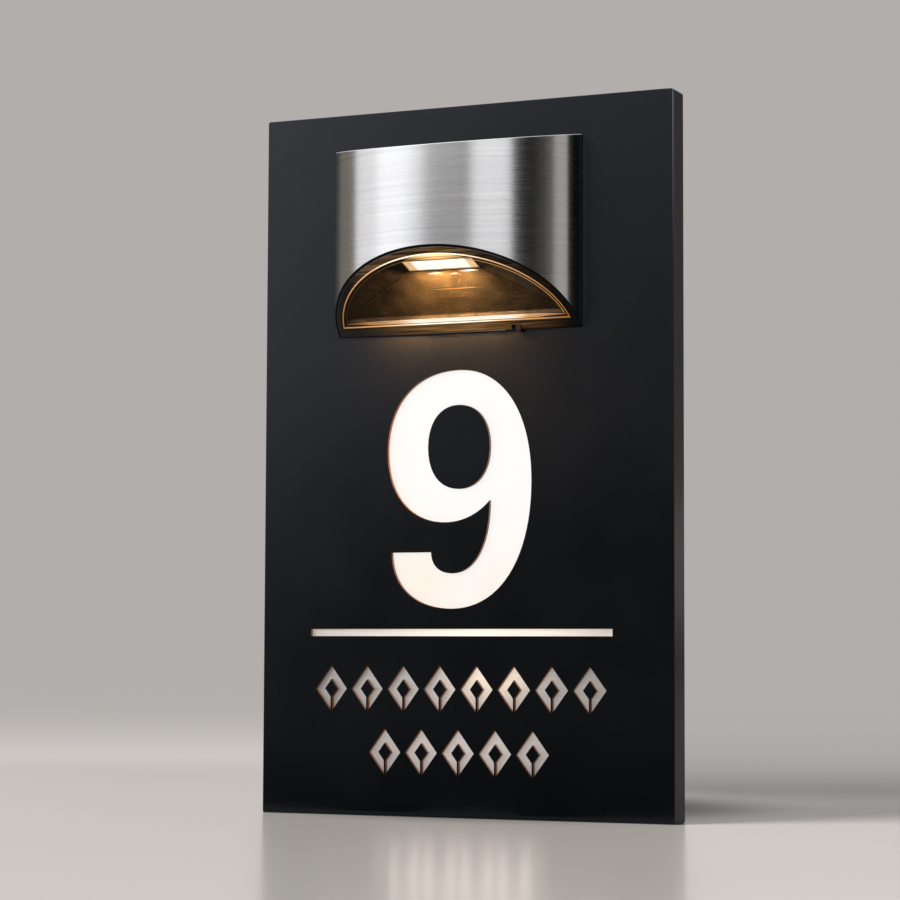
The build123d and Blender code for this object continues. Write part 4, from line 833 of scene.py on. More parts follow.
class Shelf:
    """Every finish of the sign, made once and handed out by name."""

    def __init__(self) -> None:
        """Build each material."""
        finishes: dict[str, Finish] = {
            "coat": PowderCoat("powder_coated_steel_satin_black"),
            "cut": CutEdge("laser_cut_steel_edge"),
            "arris": ArrisCoat("powder_coated_steel_satin_black_edge_painted_highlight"),
            "opal": OpalAcrylic("opal_acrylic_lit"),
            "backing": SpillSteel("brushed_stainless_sheet", roughness=0.36, anisotropy=0.4, run=14 * MM),
            "steel": BrushedSteel("brushed_stainless_cover", uv_name="brushing"),
            "housing": MouldedPlastic("moulded_abs_satin_black", roughness=0.30, coat=0.2),
            "chamber": ChamberLacquer("metallised_chamber_lacquer"),
            "rim": RimPlastic("moulded_abs_satin_black", "#0d0b09", "#060505", 0.30, coat=0.1, depth=0.10),
            # painted highlights, given as glow: the chamber's edges, the band, the foam seam, the creases and the
            # cover's top arris
            "lit_edge": GiltEdgePaintedGlow(
                "gilt_lacquer_edge_painted_highlight", middle=-4 * MM, reach=56 * MM, near="#fff1d8", far="#8a5521", strength=1.4,
                core=0.25, warm="#f3c38a"
            ),
            "seam": GiltEdgePaintedGlow(
                "pressed_foam_lip_painted_highlight", middle=24 * MM, reach=46 * MM, near="#7d7771", far="#1c1b1b", strength=0.6,
                core=0.3
            ),
            "lit_band": GiltEdgePaintedGlow(
                "gilt_lacquer_band_painted_highlight", middle=2 * MM, reach=54 * MM, near="#fff4e2", far="#6a421e", strength=1.0,
                core=0.42, warm="#eab880"
            ),
            "inner_edge": GiltEdgePaintedGlow(
                "gilt_lacquer_inner_painted_highlight", middle=46 * MM, reach=80 * MM, near="#e0ab6c", far="#35200f", strength=0.6
            ),
            "crease": GiltEdgePaintedGlow("gilt_lacquer_crease_painted_highlight", near="#7a5529", far="#4a3216", strength=0.35),
            "top_steel": GiltEdgePaintedGlow(
                "stainless_arris_painted_highlight", middle=0.0, reach=90 * MM, near="#c4c7cb", far="#8d9095", metal="#cbcbcc"
            ),
            "cut_steel": PlatedMetal("stainless_edge_sheared", "#3c3b3a", "#24221f", 0.45),
            "washed_lens": WashedLens("clear_polycarbonate_lit"),
            "lit_board": LitBoard("solder_resist_white_lit"),
            "gilt": PlatedMetal("chromed_frame_warm", "#e8d3ae", "#c3a878", 0.18),
            "lens": ClearPlastic("clear_polycarbonate"),
            "glass": ClearPlastic("clear_solar_glass", ior=1.5, tint="#eef6f4"),
            "chips": LedChip("led_phosphor_warm_white"),
            "small_chips": LedChip("led_phosphor_small", strength=1.0),
            "cell": SolarSilicon("polycrystalline_silicon"),
            "green_board": CircuitBoard("circuit_board_green_mask"),
            "white_board": CircuitBoard("circuit_board_white_mask", "#e4e5e0", "#d2d4cf"),
            "component": MouldedPlastic("moulded_epoxy_black", "#1b1b1c", roughness=0.5),
            "white": MouldedPlastic("moulded_abs_white", "#e9e9e4", "#dedfd9", 0.5),
            "plug": MouldedPlastic("moulded_nylon_natural", "#e3dfd0", "#d6d1c0", 0.42),
            "galvanised": GalvanisedSteel("hot_dip_galvanised_steel"),
            "zinc": PlatedMetal("zinc_plated_steel"),
            "stainless": PlatedMetal("stainless_screw_steel", "#c6c5c3", "#a3a19e", 0.25),
            "nickel": PlatedMetal("nickel_plated_spring_steel", "#d0ccc2", "#a9a59b", 0.2),
            "brass": PlatedMetal("turned_brass", "#c8a14e", "#a27d38", 0.24),
            "foam": FoamSheet("closed_cell_foam_black"),
            "rubber": FoamSheet("moulded_rubber_black", "#191919", cell=0.25 * MM, roughness=0.6),
            "cable": FoamSheet("cable_jacket_black", "#161617", cell=0.35 * MM, roughness=0.5),
            "wrap": MouldedPlastic("shrink_wrap_green", "#3f8f4a", "#35803f", 0.22, depth=0.05, coat=0.5),
            "switch": MouldedPlastic("moulded_nylon_black", "#1a1a1a", roughness=0.4),
            "red": MouldedPlastic("moulded_nylon_red", "#3c0d09", "#220705", 0.65),
        }
        self.materials = {key: finish.build() for key, finish in finishes.items()}

    def __getitem__(self, key: str) -> bpy.types.Material:
        """The material that goes by a short name."""
        return self.materials[key]


# ---- mesh helpers: outlines are closed, counter-clockwise rows of X and Z seen from the front


def strip_faces(rows: int, columns: int, closed: bool) -> np.ndarray:
    """Number the quads of a grid whose points are stored row by row.

    Args:
        rows: Points in the first direction.
        columns: Points in the second direction.
        closed: Whether the second direction joins up with itself.

    Returns:
        One row of four point numbers for each quad.
    """
    row = np.arange(rows - 1)[:, None] * columns
    column = np.arange(columns if closed else columns - 1)[None, :]
    after = (column + 1) % columns
    quads = np.stack([row + column, row + columns + column, row + columns + after, row + after], axis=-1)
    return quads.reshape(-1, 4)


def quarters(points: Sequence[Sequence[float]], upright: bool, fullness: float, steps: int) -> np.ndarray:
    """Quarter curves from point to point, without the last point.

    Each is a cubic Bezier: its handles leave its ends straight up or straight across, in turn, and reach a share of
    the box between the two points. A share of 0.552 is a plain ellipse and a larger one is squarer.

    Args:
        points: X and Z of each point.
        upright: Whether the first curve leaves its first point upright and reaches the next one level.
        fullness: The share.
        steps: Number of points on each curve.

    Returns:
        The points, one row each.
    """
    t = np.linspace(0.0, 1.0, steps, endpoint=False)[:, None]
    curves = []
    for first, last in zip(np.array(points[:-1]), np.array(points[1:])):
        handles = np.diag((last - first) * fullness)
        level, rise = handles
        leave, reach = (rise, level) if upright else (level, rise)
        start, end = (1 - t) ** 3 * first, t**3 * last
        curves.append(start + 3 * (1 - t) ** 2 * t * (first + leave) + 3 * (1 - t) * t**2 * (last - reach) + end)
        upright = not upright
    return np.concatenate(curves)


def counter_clockwise(outline: np.ndarray) -> np.ndarray:
    """Turn an outline round unless its area, half the sum of its edges' cross products, is positive."""
    x, z = outline.T
    return outline if np.sum(x * np.roll(z, -1) - np.roll(x, -1) * z) > 0 else outline[::-1]


def grown(outline: np.ndarray, distance: float) -> np.ndarray:
    """Move an outline outwards: each point goes along the bisector of its two edges' normals.

    Args:
        outline: Counter-clockwise points.
        distance: How far each edge moves; negative is inwards.

    Returns:
        The moved points.
    """
    ahead = np.roll(outline, -1, axis=0) - outline
    ahead = ahead / np.linalg.norm(ahead, axis=1, keepdims=True)
    normal = np.stack([ahead[:, 1], -ahead[:, 0]], axis=1)
    behind = np.roll(normal, 1, axis=0)
    bisector = (normal + behind) / (1.0 + np.sum(normal * behind, axis=1, keepdims=True))
    return outline + distance * bisector


def rounded_rectangle(centre: Pair, width: float, height: float, radius: float, steps: int = 5) -> np.ndarray:
    """Rectangle with round corners: each corner is a quarter circle about a centre one radius in from both sides.

    Args:
        centre: X and Z of the middle.
        width: Size along X.
        height: Size along Z.
        radius: Corner radius.
        steps: Points on each corner.

    Returns:
        Counter-clockwise points from the lower right corner.
    """
    angle = np.linspace(0.0, pi / 2, steps)[None, :] + np.array([-pi / 2, 0.0, pi / 2, pi])[:, None]
    side = np.array([1, 1, -1, -1])[:, None] * (width / 2 - radius)
    rise = np.array([-1, 1, 1, -1])[:, None] * (height / 2 - radius)
    x = centre[0] + side + radius * np.cos(angle)
    z = centre[1] + rise + radius * np.sin(angle)
    return np.stack([x.ravel(), z.ravel()], axis=1)


def circle(centre: Pair, radius: float, steps: int = 32) -> np.ndarray:
    """Points of a circle: its centre plus the radius times the cosine and the sine of even angles."""
    angle = np.linspace(0.0, 2 * pi, steps, endpoint=False)
    return np.stack([centre[0] + radius * np.cos(angle), centre[1] + radius * np.sin(angle)], axis=1)


def at_depth(outline: np.ndarray, y: float) -> np.ndarray:
    """Put an outline of X and Z on the plane that faces the front at Y."""
    return np.insert(outline, 1, y, axis=1)


def round_profile(radius: float, depth: float, hold: float, steps: int = 4) -> list[Pair]:
    """Profile from a flat face over a round edge and down a wall, as growth and depth.

    The round is a quarter circle. A row of points a little inside the flat face keeps that face's shading flat.

    Args:
        radius: Edge radius.
        depth: How far down the wall goes from the face.
        hold: How far inside the flat face its extra row lies.
        steps: Steps on the round.

    Returns:
        Pairs of inward distance from the wall and depth below the face.
    """
    angle = np.linspace(0.0, pi / 2, steps + 1)
    arc = [(radius * (1 - sin(a)), radius * (1 - cos(a))) for a in angle]
    return [(radius + hold, 0.0), *arc, (0.0, min(radius + hold, depth / 2)), (0.0, depth)]


def inside(points: np.ndarray, outline: np.ndarray) -> np.ndarray:
    """Tell which points lie inside an outline: a ray to the right crosses its edges an odd number of times.

    Args:
        points: X and Z of each point.
        outline: The outline.

    Returns:
        True for each point inside.
    """
    after = np.roll(outline, -1, axis=0)
    x, z = points[:, 0:1], points[:, 1:2]
    spans = (outline[:, 1] > z) != (after[:, 1] > z)
    rise = np.where(after[:, 1] == outline[:, 1], 1.0, after[:, 1] - outline[:, 1])
    crossing = outline[:, 0] + (z - outline[:, 1]) / rise * (after[:, 0] - outline[:, 0])
    return np.sum(spans & (x < crossing), axis=1) % 2 == 1


def rounded_section(corners: np.ndarray, radius: float, hold: float, steps: int = 3) -> np.ndarray:
    """Round the corners of a closed section that is carried along a path.

    Each corner becomes a quadratic Bezier between points one radius along its two sides, and a further point on
    each side keeps the flat between corners flat.

    Args:
        corners: Corners of the section by stations of the path by X, Y and Z.
        radius: How far from the corner the round starts.
        hold: How far past the round the extra point lies.
        steps: Steps on each round.

    Returns:
        Points of the section by stations by X, Y and Z.
    """
    before, after = (np.roll(corners, turn, axis=0) - corners for turn in (1, -1))
    before, after = (side / np.linalg.norm(side, axis=2, keepdims=True) for side in (before, after))
    t = np.linspace(0.0, 1.0, steps + 1)[None, :, None, None]
    start, end = corners + radius * before, corners + radius * after
    curve = (1 - t) ** 2 * start[:, None] + 2 * t * (1 - t) * corners[:, None] + t**2 * end[:, None]
    first, last = ((corners + (radius + hold) * side)[:, None] for side in (before, after))
    return np.concatenate([first, curve, last], axis=1).reshape(-1, corners.shape[1], 3)


def tube(at: Callable[[float, float], np.ndarray], radius: float, turns: int = 10) -> np.ndarray:
    """Carry a circle along a path: each row is the path moved by the radius times the cosine and sine of an angle.

    Args:
        at: Gives the path moved by two distances across it.
        radius: The circle's radius.
        turns: Points round the circle.

    Returns:
        Rows of points, with the first one again at the end.
    """
    rows = [at(radius * cos(t), radius * sin(t)) for t in np.linspace(0.0, 2 * pi, turns + 1)[:-1]]
    return np.stack(rows + rows[:1])


class Shell:
    """Patches of points and faces that become one mesh."""

    def __init__(self) -> None:
        """Start with nothing."""
        self.points: list[np.ndarray] = []
        self.faces: list[np.ndarray] = []
        self.finish: list[np.ndarray] = []
        self.maps: list[np.ndarray] = []
        self.count = 0

    def add(self, points: np.ndarray, faces: np.ndarray, finish: int = 0, uv: np.ndarray | None = None) -> None:
        """Add one patch.

        Args:
            points: X, Y and Z of each point.
            faces: Point numbers of each face, three or four to a row.
            finish: The material slot that the faces take.
            uv: U and V of each point, in metres.
        """
        flat = points.reshape(-1, 3)
        self.points.append(flat)
        self.faces.append(faces + self.count)
        self.finish.append(np.full(len(faces), finish))
        self.maps.append(np.zeros((len(flat), 2)) if uv is None else uv.reshape(-1, 2))
        self.count += len(flat)

    def skin(self, rows: Any, flip: bool = False, finish: int = 0, closed: bool = True) -> None:
        """Add a surface carried over rows of points.

        Args:
            rows: Rows of points, each row one position of the carried outline.
            flip: Whether the faces turn the other way.
            finish: The material slot.
            closed: Whether each row joins up with itself.
        """
        rows = np.stack(rows)
        faces = strip_faces(rows.shape[0], rows.shape[1], closed)
        self.add(rows, faces[:, ::-1] if flip else faces, finish)

    def flat(
        self,
        outer: np.ndarray,
        holes: Sequence[np.ndarray],
        place: Callable[[np.ndarray], np.ndarray],
        flip: bool = False,
    ) -> None:
        """Fill a flat face between an outline and its holes.

        The outlines are joined by a constrained Delaunay triangulation, and a triangle stays if its middle is inside
        the outer outline and outside every hole.

        Args:
            outer: The outer outline.
            holes: The outlines cut from it.
            place: Puts rows of two coordinates into space.
            flip: Whether the face turns the other way.
        """
        loops = [outer, *holes]
        starts = np.cumsum([0] + [len(loop) for loop in loops])
        numbers = [np.arange(len(loop)) for loop in loops]
        edges = np.concatenate([np.stack([n, np.roll(n, -1)], axis=1) + start for n, start in zip(numbers, starts)])
        made = delaunay_2d_cdt([Vector(p) for p in np.concatenate(loops).tolist()], edges.tolist(), [], 0, 1e-9)
        points, triangles = np.array([tuple(p) for p in made[0]]), np.array(made[2])
        middle = points[triangles].mean(axis=1)
        keep = inside(middle, outer)
        for hole in holes:
            keep &= ~inside(middle, hole)
        triangles = triangles[keep]
        a, b, c = (points[triangles[:, i]] for i in range(3))
        turn = (b - a)[:, 0] * (c - a)[:, 1] - (b - a)[:, 1] * (c - a)[:, 0]
        wrong = (turn < 0) != flip
        triangles[wrong] = triangles[wrong][:, ::-1]
        self.add(place(points), triangles)

    def build(
        self, name: str, materials: Sequence[bpy.types.Material], sharp: float = 32.0, uv_name: str = ""
    ) -> bpy.types.Object:
        """Make the mesh and its object, which rides on the sign.

        Args:
            name: The piece's name.
            materials: The materials, in the order of the slots.
            sharp: Faces that meet at more than this many degrees keep a crisp edge.
            uv_name: Name of the UV map, or nothing for none.

        Returns:
            The new object.
        """
        merge = 1e-7  # points nearer than this become one
        mesh = bpy.data.meshes.new(name)
        faces = [row for patch in self.faces for row in patch.tolist()]
        mesh.from_pydata(np.concatenate(self.points).tolist(), [], faces)
        mesh.polygons.foreach_set("material_index", np.concatenate(self.finish).astype(np.int32))
        if uv_name:
            corners = np.empty(len(mesh.loops), dtype=np.int32)
            mesh.loops.foreach_get("vertex_index", corners)
            layer = mesh.uv_layers.new(name=uv_name)
            layer.data.foreach_set("uv", np.concatenate(self.maps)[corners].ravel())
        clean = bmesh.new()
        clean.from_mesh(mesh)
        bmesh.ops.remove_doubles(clean, verts=clean.verts, dist=merge)
        bmesh.ops.dissolve_degenerate(clean, edges=clean.edges, dist=merge)
        clean.to_mesh(mesh)
        clean.free()
        mesh.polygons.foreach_set("use_smooth", np.ones(len(mesh.polygons), dtype=bool))
        mesh.set_sharp_from_angle(angle=radians(sharp))
        for material in materials:
            mesh.materials.append(material)
        piece = bpy.data.objects.new(name, mesh)
        bpy.context.collection.objects.link(piece)
        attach(piece, "sign")
        LOG.info("%s: %d faces", name, len(mesh.polygons))
        return piece


@dataclass
class Assembly:
    """A sub-assembly of the sign, dressed from the shelf of finishes."""

    shelf: Shelf


# ---- the panel


@dataclass
class NumeralShape:
    """The 9: its measures are taken from its foot and its left side."""

    left: float = FACE_X - 35.3 * MM
    foot: float = -67.3 * MM
    width: float = 70.6 * MM
    height: float = 107.4 * MM
    stroke: float = 20.2 * MM  # width of the upright stroke
    stroke_top: float = 15.8 * MM  # thickness of the curved strokes
    bowl_z: float = 71.3 * MM
    stem_z: float = 56.7 * MM
    bowl_x: float = 29.0 * MM
    bowl_low: float = 38.8 * MM
    top_x: float = 35.3 * MM
    foot_x: float = 32.1 * MM
    hook_z: float = 25.4 * MM
    hook_x: float = 2.3 * MM
    hook_w: float = 19.6 * MM
    notch_z: float = 48.3 * MM
    counter_h: float = 37.9 * MM
    fullness: float = 0.61
    steps: int = 22  # points on each quarter curve

    def place(self, x: float, z: float) -> Pair:
        """X and Z on the panel of a point given from the numeral's left side and foot."""
        return (self.left + x, self.foot + z)

    def outline(self) -> np.ndarray:
        """Join the quarter curves and the notch's arc, which is level at the bowl's lowest point.

        Returns:
            The 9's outline, counter-clockwise.
        """
        top = self.place(self.top_x, self.height)
        left, right = self.place(0.0, self.bowl_z), self.place(self.width, self.stem_z)
        foot, foot_inner = self.place(self.foot_x, 0.0), self.place(self.foot_x, self.stroke_top)
        hook_outer = self.place(self.hook_x, self.hook_z)
        hook_inner = self.place(self.hook_x + self.hook_w, self.hook_z)
        notch = self.place(self.width - self.stroke, self.notch_z)
        bowl = self.place(self.bowl_x, self.bowl_low)
        run, rise = notch[0] - bowl[0], notch[1] - bowl[1]
        radius = (run**2 + rise**2) / (2 * rise)
        angle = np.linspace(atan2(rise - radius, run), -pi / 2, self.steps, endpoint=False)
        arc = np.stack([bowl[0] + radius * np.cos(angle), bowl[1] + radius + radius * np.sin(angle)], axis=1)
        parts = [
            quarters([left, top, right, foot, hook_outer], True, self.fullness, self.steps),
            np.array([hook_outer]),
            quarters([hook_inner, foot_inner, notch], True, self.fullness, self.steps),
            arc,
            quarters([bowl, left], False, self.fullness, self.steps),
        ]
        return counter_clockwise(np.concatenate(parts))

    def counter(self) -> np.ndarray:
        """Join four quarter curves round the middle of the counter.

        Returns:
            The counter's outline, counter-clockwise.
        """
        half_w, half_h = self.width / 2 - self.stroke, self.counter_h / 2
        x, z = self.place(self.width / 2, self.height - self.stroke_top - half_h)
        ring = [(x - half_w, z), (x, z + half_h), (x + half_w, z), (x, z - half_h), (x - half_w, z)]
        return counter_clockwise(quarters(ring, True, self.fullness, self.steps))


@dataclass
class LozengeRows:
    """Two rows of open lozenges, each held by one stencil bridge at its foot."""

    width: float = 15.6 * MM
    height: float = 21.0 * MM
    stroke: float = 3.7 * MM
    pitch: float = 18.0 * MM
    bridge: float = 0.8 * MM
    rows: tuple[tuple[float, int], ...] = ((-103.4 * MM, 8), (-131.8 * MM, 5))  # middle height and number

    def one(self) -> np.ndarray:
        """One cut: round the outside from the bridge to the bridge, and back along the inside.

        Returns:
            Its outline about its own middle, counter-clockwise.
        """
        half_w, half_h = self.width / 2, self.height / 2
        reach = half_w * half_h / sqrt(half_w**2 + half_h**2)
        share = 1 - self.stroke / reach
        gap = self.bridge / 2
        outer_z, inner_z = -half_h * (1 - gap / half_w), -half_h * (share - gap / half_w)
        corners = [(gap, outer_z), (half_w, 0), (0, half_h), (-half_w, 0), (-gap, outer_z)]
        corners += [(-gap, inner_z), (-half_w * share, 0), (0, half_h * share), (half_w * share, 0), (gap, inner_z)]
        return counter_clockwise(np.array(corners))

    def outlines(self) -> list[np.ndarray]:
        """Every cut of both rows."""
        made = []
        for z, number in self.rows:
            places = (np.arange(number) - (number - 1) / 2) * self.pitch
            made += [self.one() + np.array([FACE_X + x, z]) for x in places]
        return made


@dataclass
class Fascia(Assembly):
    """Folded black tray with its cuts, and the loose island inside the 9."""

    width: float = 200.0 * MM
    height: float = 321.0 * MM
    depth: float = 13.5 * MM
    sheet: float = 2.0 * MM
    arris: float = 0.32 * MM  # round of the front edge
    corner: float = 0.9 * MM
    rim: float = 0.25 * MM  # round of the rear rim
    cut_round: float = 0.14 * MM  # round of each cut's front edge
    hold: float = 0.18 * MM
    clear: float = 0.03 * MM  # least radius of a corner
    bar: Triple = (-78.0 * MM, 147.3 * MM, 3.2 * MM)  # middle height, width, height
    bar_corner: float = 0.15 * MM
    lamp_screws: Triple = (40.0 * MM, 102.0 * MM, 2.25 * MM)  # side, height, radius
    cable_hole: Pair = (81.0 * MM, 4.0 * MM)  # height, radius
    tray_screws: tuple[float, float, float, float] = (75.0 * MM, -5.9 * MM, 3.0 * MM, 1.6 * MM)  # X, Y, two radii
    numeral: NumeralShape = field(default_factory=NumeralShape)
    lozenges: LozengeRows = field(default_factory=LozengeRows)

    def holes(self) -> list[np.ndarray]:
        """Outlines of the lit cuts and of the plain holes behind the lamp.

        Returns:
            The 9, the bar, the lozenges and three circles.
        """
        z, width, height = self.bar
        bar = rounded_rectangle((FACE_X, z), width, height, self.bar_corner, 3)
        side, screw_z, screw_r = self.lamp_screws
        cable_z, cable_r = self.cable_hole
        bores = [(-side, screw_z, screw_r), (side, screw_z, screw_r), (0.0, cable_z, cable_r)]
        lit = [self.numeral.outline(), bar, *self.lozenges.outlines()]
        return lit + [circle((FACE_X + x, z), radius) for x, z, radius in bores]

    def frame_rows(self, profile: Sequence[Pair]) -> list[np.ndarray]:
        """The panel's outline at each distance in from its sides and behind its front."""
        rows = []
        for inset, depth in profile:
            size = (self.width - 2 * inset, self.height - 2 * inset)
            loop = rounded_rectangle((0.0, 0.0), *size, max(self.corner - inset, self.clear))
            rows.append(at_depth(loop, depth - self.depth))
        return rows

    def cut_rows(self, outline: np.ndarray, outwards: float) -> list[np.ndarray]:
        """Rows from the face over a cut's round edge and through the sheet.

        Args:
            outline: The cut.
            outwards: 1 where the sheet is outside the outline, -1 where it is inside.

        Returns:
            Rows of points.
        """
        profile = round_profile(self.cut_round, self.sheet, self.hold)
        return [at_depth(grown(outline, outwards * g), d - self.depth) for g, d in profile]

    def on_front(self, points: np.ndarray) -> np.ndarray:
        """Put points on the front face."""
        return at_depth(points, -self.depth)

    def behind_front(self, points: np.ndarray) -> np.ndarray:
        """Put points on the back of the front sheet."""
        return at_depth(points, self.sheet - self.depth)

    def build(self) -> None:
        """Make the tray and the island."""
        self.build_tray()
        self.build_island()

    def build_tray(self) -> bpy.types.Object:
        """Make the tray: rows carried round its outline and its cuts, with flat faces between them.

        Returns:
            The tray.
        """
        shell = Shell()
        front = round_profile(self.arris, self.depth / 2, self.hold)[:-1]
        rim = self.rim
        rear = [(0.0, self.depth - 2 * rim), (0.0, self.depth - rim), (0.3 * rim, self.depth - 0.3 * rim)]
        rear += [(rim, self.depth), (2 * rim, self.depth)]
        rear += [(self.sheet - g, d) for g, d in reversed(rear)]
        for profile, finish in ((front[:2], 0), (front[1:-1], 2), (front[-2:], 0), (rear, 0)):
            shell.skin(self.frame_rows(profile), finish=finish)
        inner = (self.sheet, self.sheet)
        for wall in ((front[-1], rear[0]), (rear[-1], inner)):
            shell.skin(self.frame_rows(wall), closed=False)
        face_edge, back_edge = (row[:, [0, 2]] for row in self.frame_rows((front[0], inner)))
        holes = self.holes()
        shell.flat(face_edge, [grown(h, self.cut_round + self.hold) for h in holes], self.on_front)
        shell.flat(back_edge, holes, self.behind_front, flip=True)
        for hole in holes:
            rows = self.cut_rows(hole, 1.0)
            shell.skin(rows[:-2], flip=True)
            shell.skin(rows[-3:], flip=True, finish=1)
        self.add_lower_return(shell, front[-1][1], rear[0][1], rear[-1][1])
        piece = shell.build("fascia_panel", [self.shelf["coat"], self.shelf["cut"], self.shelf["arris"]])
        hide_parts("fascia_tray")
        return piece

    def add_lower_return(self, shell: Shell, start: float, end: float, inner_end: float) -> None:
        """Fill the lower return's two faces and their countersunk holes.

        Args:
            shell: The tray's shell.
            start: Depth where the outer face starts.
            end: Depth where it ends.
            inner_end: Depth where the inner face ends.
        """
        x, y, wide, narrow = self.tray_screws
        centres = [(-x, y), (x, y)]
        low, high = -self.height / 2, -self.height / 2 + self.sheet
        outer = (self.width / 2 - self.corner, start, end, wide, low)
        inner = (self.width / 2 - self.sheet - self.clear, self.sheet, inner_end, narrow, high)
        for half, near, far, radius, z in (outer, inner):
            face = np.array([(-half, near), (half, near), (half, far), (-half, far)]) - np.array([0, self.depth])
            holes = [circle(c, radius) for c in centres]
            shell.flat(face, holes, lambda p: np.insert(p, 2, z, axis=1), flip=z == low)
        for centre in centres:
            levels = [(wide, low), (narrow, low + wide - narrow), (narrow, high)]
            shell.skin([np.insert(circle(centre, radius), 2, z, axis=1) for radius, z in levels], True, 1)

    def build_island(self) -> bpy.types.Object:
        """Make the island inside the 9.

        Returns:
            The island.
        """
        shell = Shell()
        outline = self.numeral.counter()
        rows = self.cut_rows(outline, -1.0)
        shell.skin(rows[:-2])
        shell.skin(rows[-3:], finish=1)
        shell.flat(rows[0][:, [0, 2]], [], self.on_front)
        shell.flat(outline, [], self.behind_front, flip=True)
        piece = shell.build("number_island", [self.shelf["coat"], self.shelf["cut"]])
        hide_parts("number_counter")
        return piece


# ---- the lamp


@dataclass
class LampForm:
    """The lamp's half-round form, with depths measured from its back and heights from its base."""

    back: float = -14.3 * MM
    base: float = 57.0 * MM
    height: float = 86.0 * MM
    half_width: float = 59.5 * MM
    depth: float = 35.0 * MM
    roof_fall: float = tan(radians(10.0))
    fine: int = 4001  # points on the half ellipse when its length is summed

    def place(self, x: Any, depth: Any, height: Any) -> np.ndarray:
        """Points in space from the distance to the centre line, the depth and the height above the base."""
        return np.stack(np.broadcast_arrays(FACE_X + x, self.back - depth, self.base + height), axis=-1)

    def ellipse(self, inset: float, stations: int) -> tuple[np.ndarray, np.ndarray, np.ndarray]:
        """Walk round the half ellipse in even steps.

        The ellipse is sampled finely, its running length is summed, and the wanted stations are read off by even
        length. The inset goes along the normal, which is the gradient of the ellipse's equation.

        Args:
            inset: How far inside the outer face the walk goes.
            stations: Number of points.

        Returns:
            Distance to the centre line, depth and running length.
        """
        fine = np.linspace(0.0, pi, self.fine)
        x, d = -self.half_width * np.cos(fine), self.depth * np.sin(fine)
        length = np.concatenate([[0.0], np.cumsum(np.hypot(np.diff(x), np.diff(d)))])
        even = np.linspace(0.0, length[-1], stations)
        turn = np.interp(even, length, fine)
        nx, nd = -np.cos(turn) / self.half_width, np.sin(turn) / self.depth
        size = np.hypot(nx, nd)
        x, d = -self.half_width * np.cos(turn), self.depth * np.sin(turn)
        return x - inset * nx / size, d - inset * nd / size, even


@dataclass
class LampPart(Assembly):
    """A sub-assembly of the lamp."""

    form: LampForm = field(default_factory=LampForm)


@dataclass
class LampCover(LampPart):
    """Brushed steel skin of the lamp, with fine rounds on its upper and lower edges."""

    sheet: float = 0.8 * MM
    edge: float = 0.16 * MM
    hold: float = 0.1 * MM
    cut_depth: float = 0.2 * MM  # faces this near to the mouth's plane are the sheared edge
    top_depth: float = 0.3 * MM  # faces this near to the roof's plane are the polished edge, which carries a painted highlight
    stations: int = 160

    def build(self) -> None:
        """Carry the sheet's section round the half ellipse, between the sloped mouth and the sloped roof."""
        form = self.form
        outer_x, outer_d, length = form.ellipse(0.0, self.stations)
        inner_x, inner_d, _ = form.ellipse(self.sheet, self.stations)
        corners = [
            form.place(outer_x, outer_d, outer_d),
            form.place(outer_x, outer_d, form.height - form.roof_fall * outer_d),
            form.place(inner_x, inner_d, form.height - form.roof_fall * inner_d),
            form.place(inner_x, inner_d, inner_d),
        ]
        rows = rounded_section(np.stack(corners), self.edge, self.hold)
        rows = np.concatenate([rows, rows[:1]])
        uv = np.stack([np.broadcast_to(length, rows.shape[:2]), rows[:, :, 2]], axis=-1)
        faces = strip_faces(rows.shape[0], rows.shape[1], False)
        flat = rows.reshape(-1, 3)
        above_mouth = flat[:, 2] - form.base + flat[:, 1] - form.back
        below_roof = form.base + form.height - form.roof_fall * (form.back - flat[:, 1]) - flat[:, 2]
        cut = (above_mouth[faces] < self.cut_depth).all(axis=1)
        top = (below_roof[faces] < self.top_depth).all(axis=1)
        shell = Shell()
        for finish, chosen in enumerate((~cut & ~top, cut, top)):
            shell.add(rows, faces[chosen][:, ::-1], finish, uv)
        ring = np.arange(len(rows) - 1)[None, :]
        shell.add(rows[:-1, 0], ring[:, ::-1])
        shell.add(rows[:-1, -1], ring)
        finishes = [self.shelf["steel"], self.shelf["cut_steel"], self.shelf["top_steel"]]
        piece = shell.build("brushed_cover", finishes, uv_name="brushing")
        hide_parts("lamp_cover")


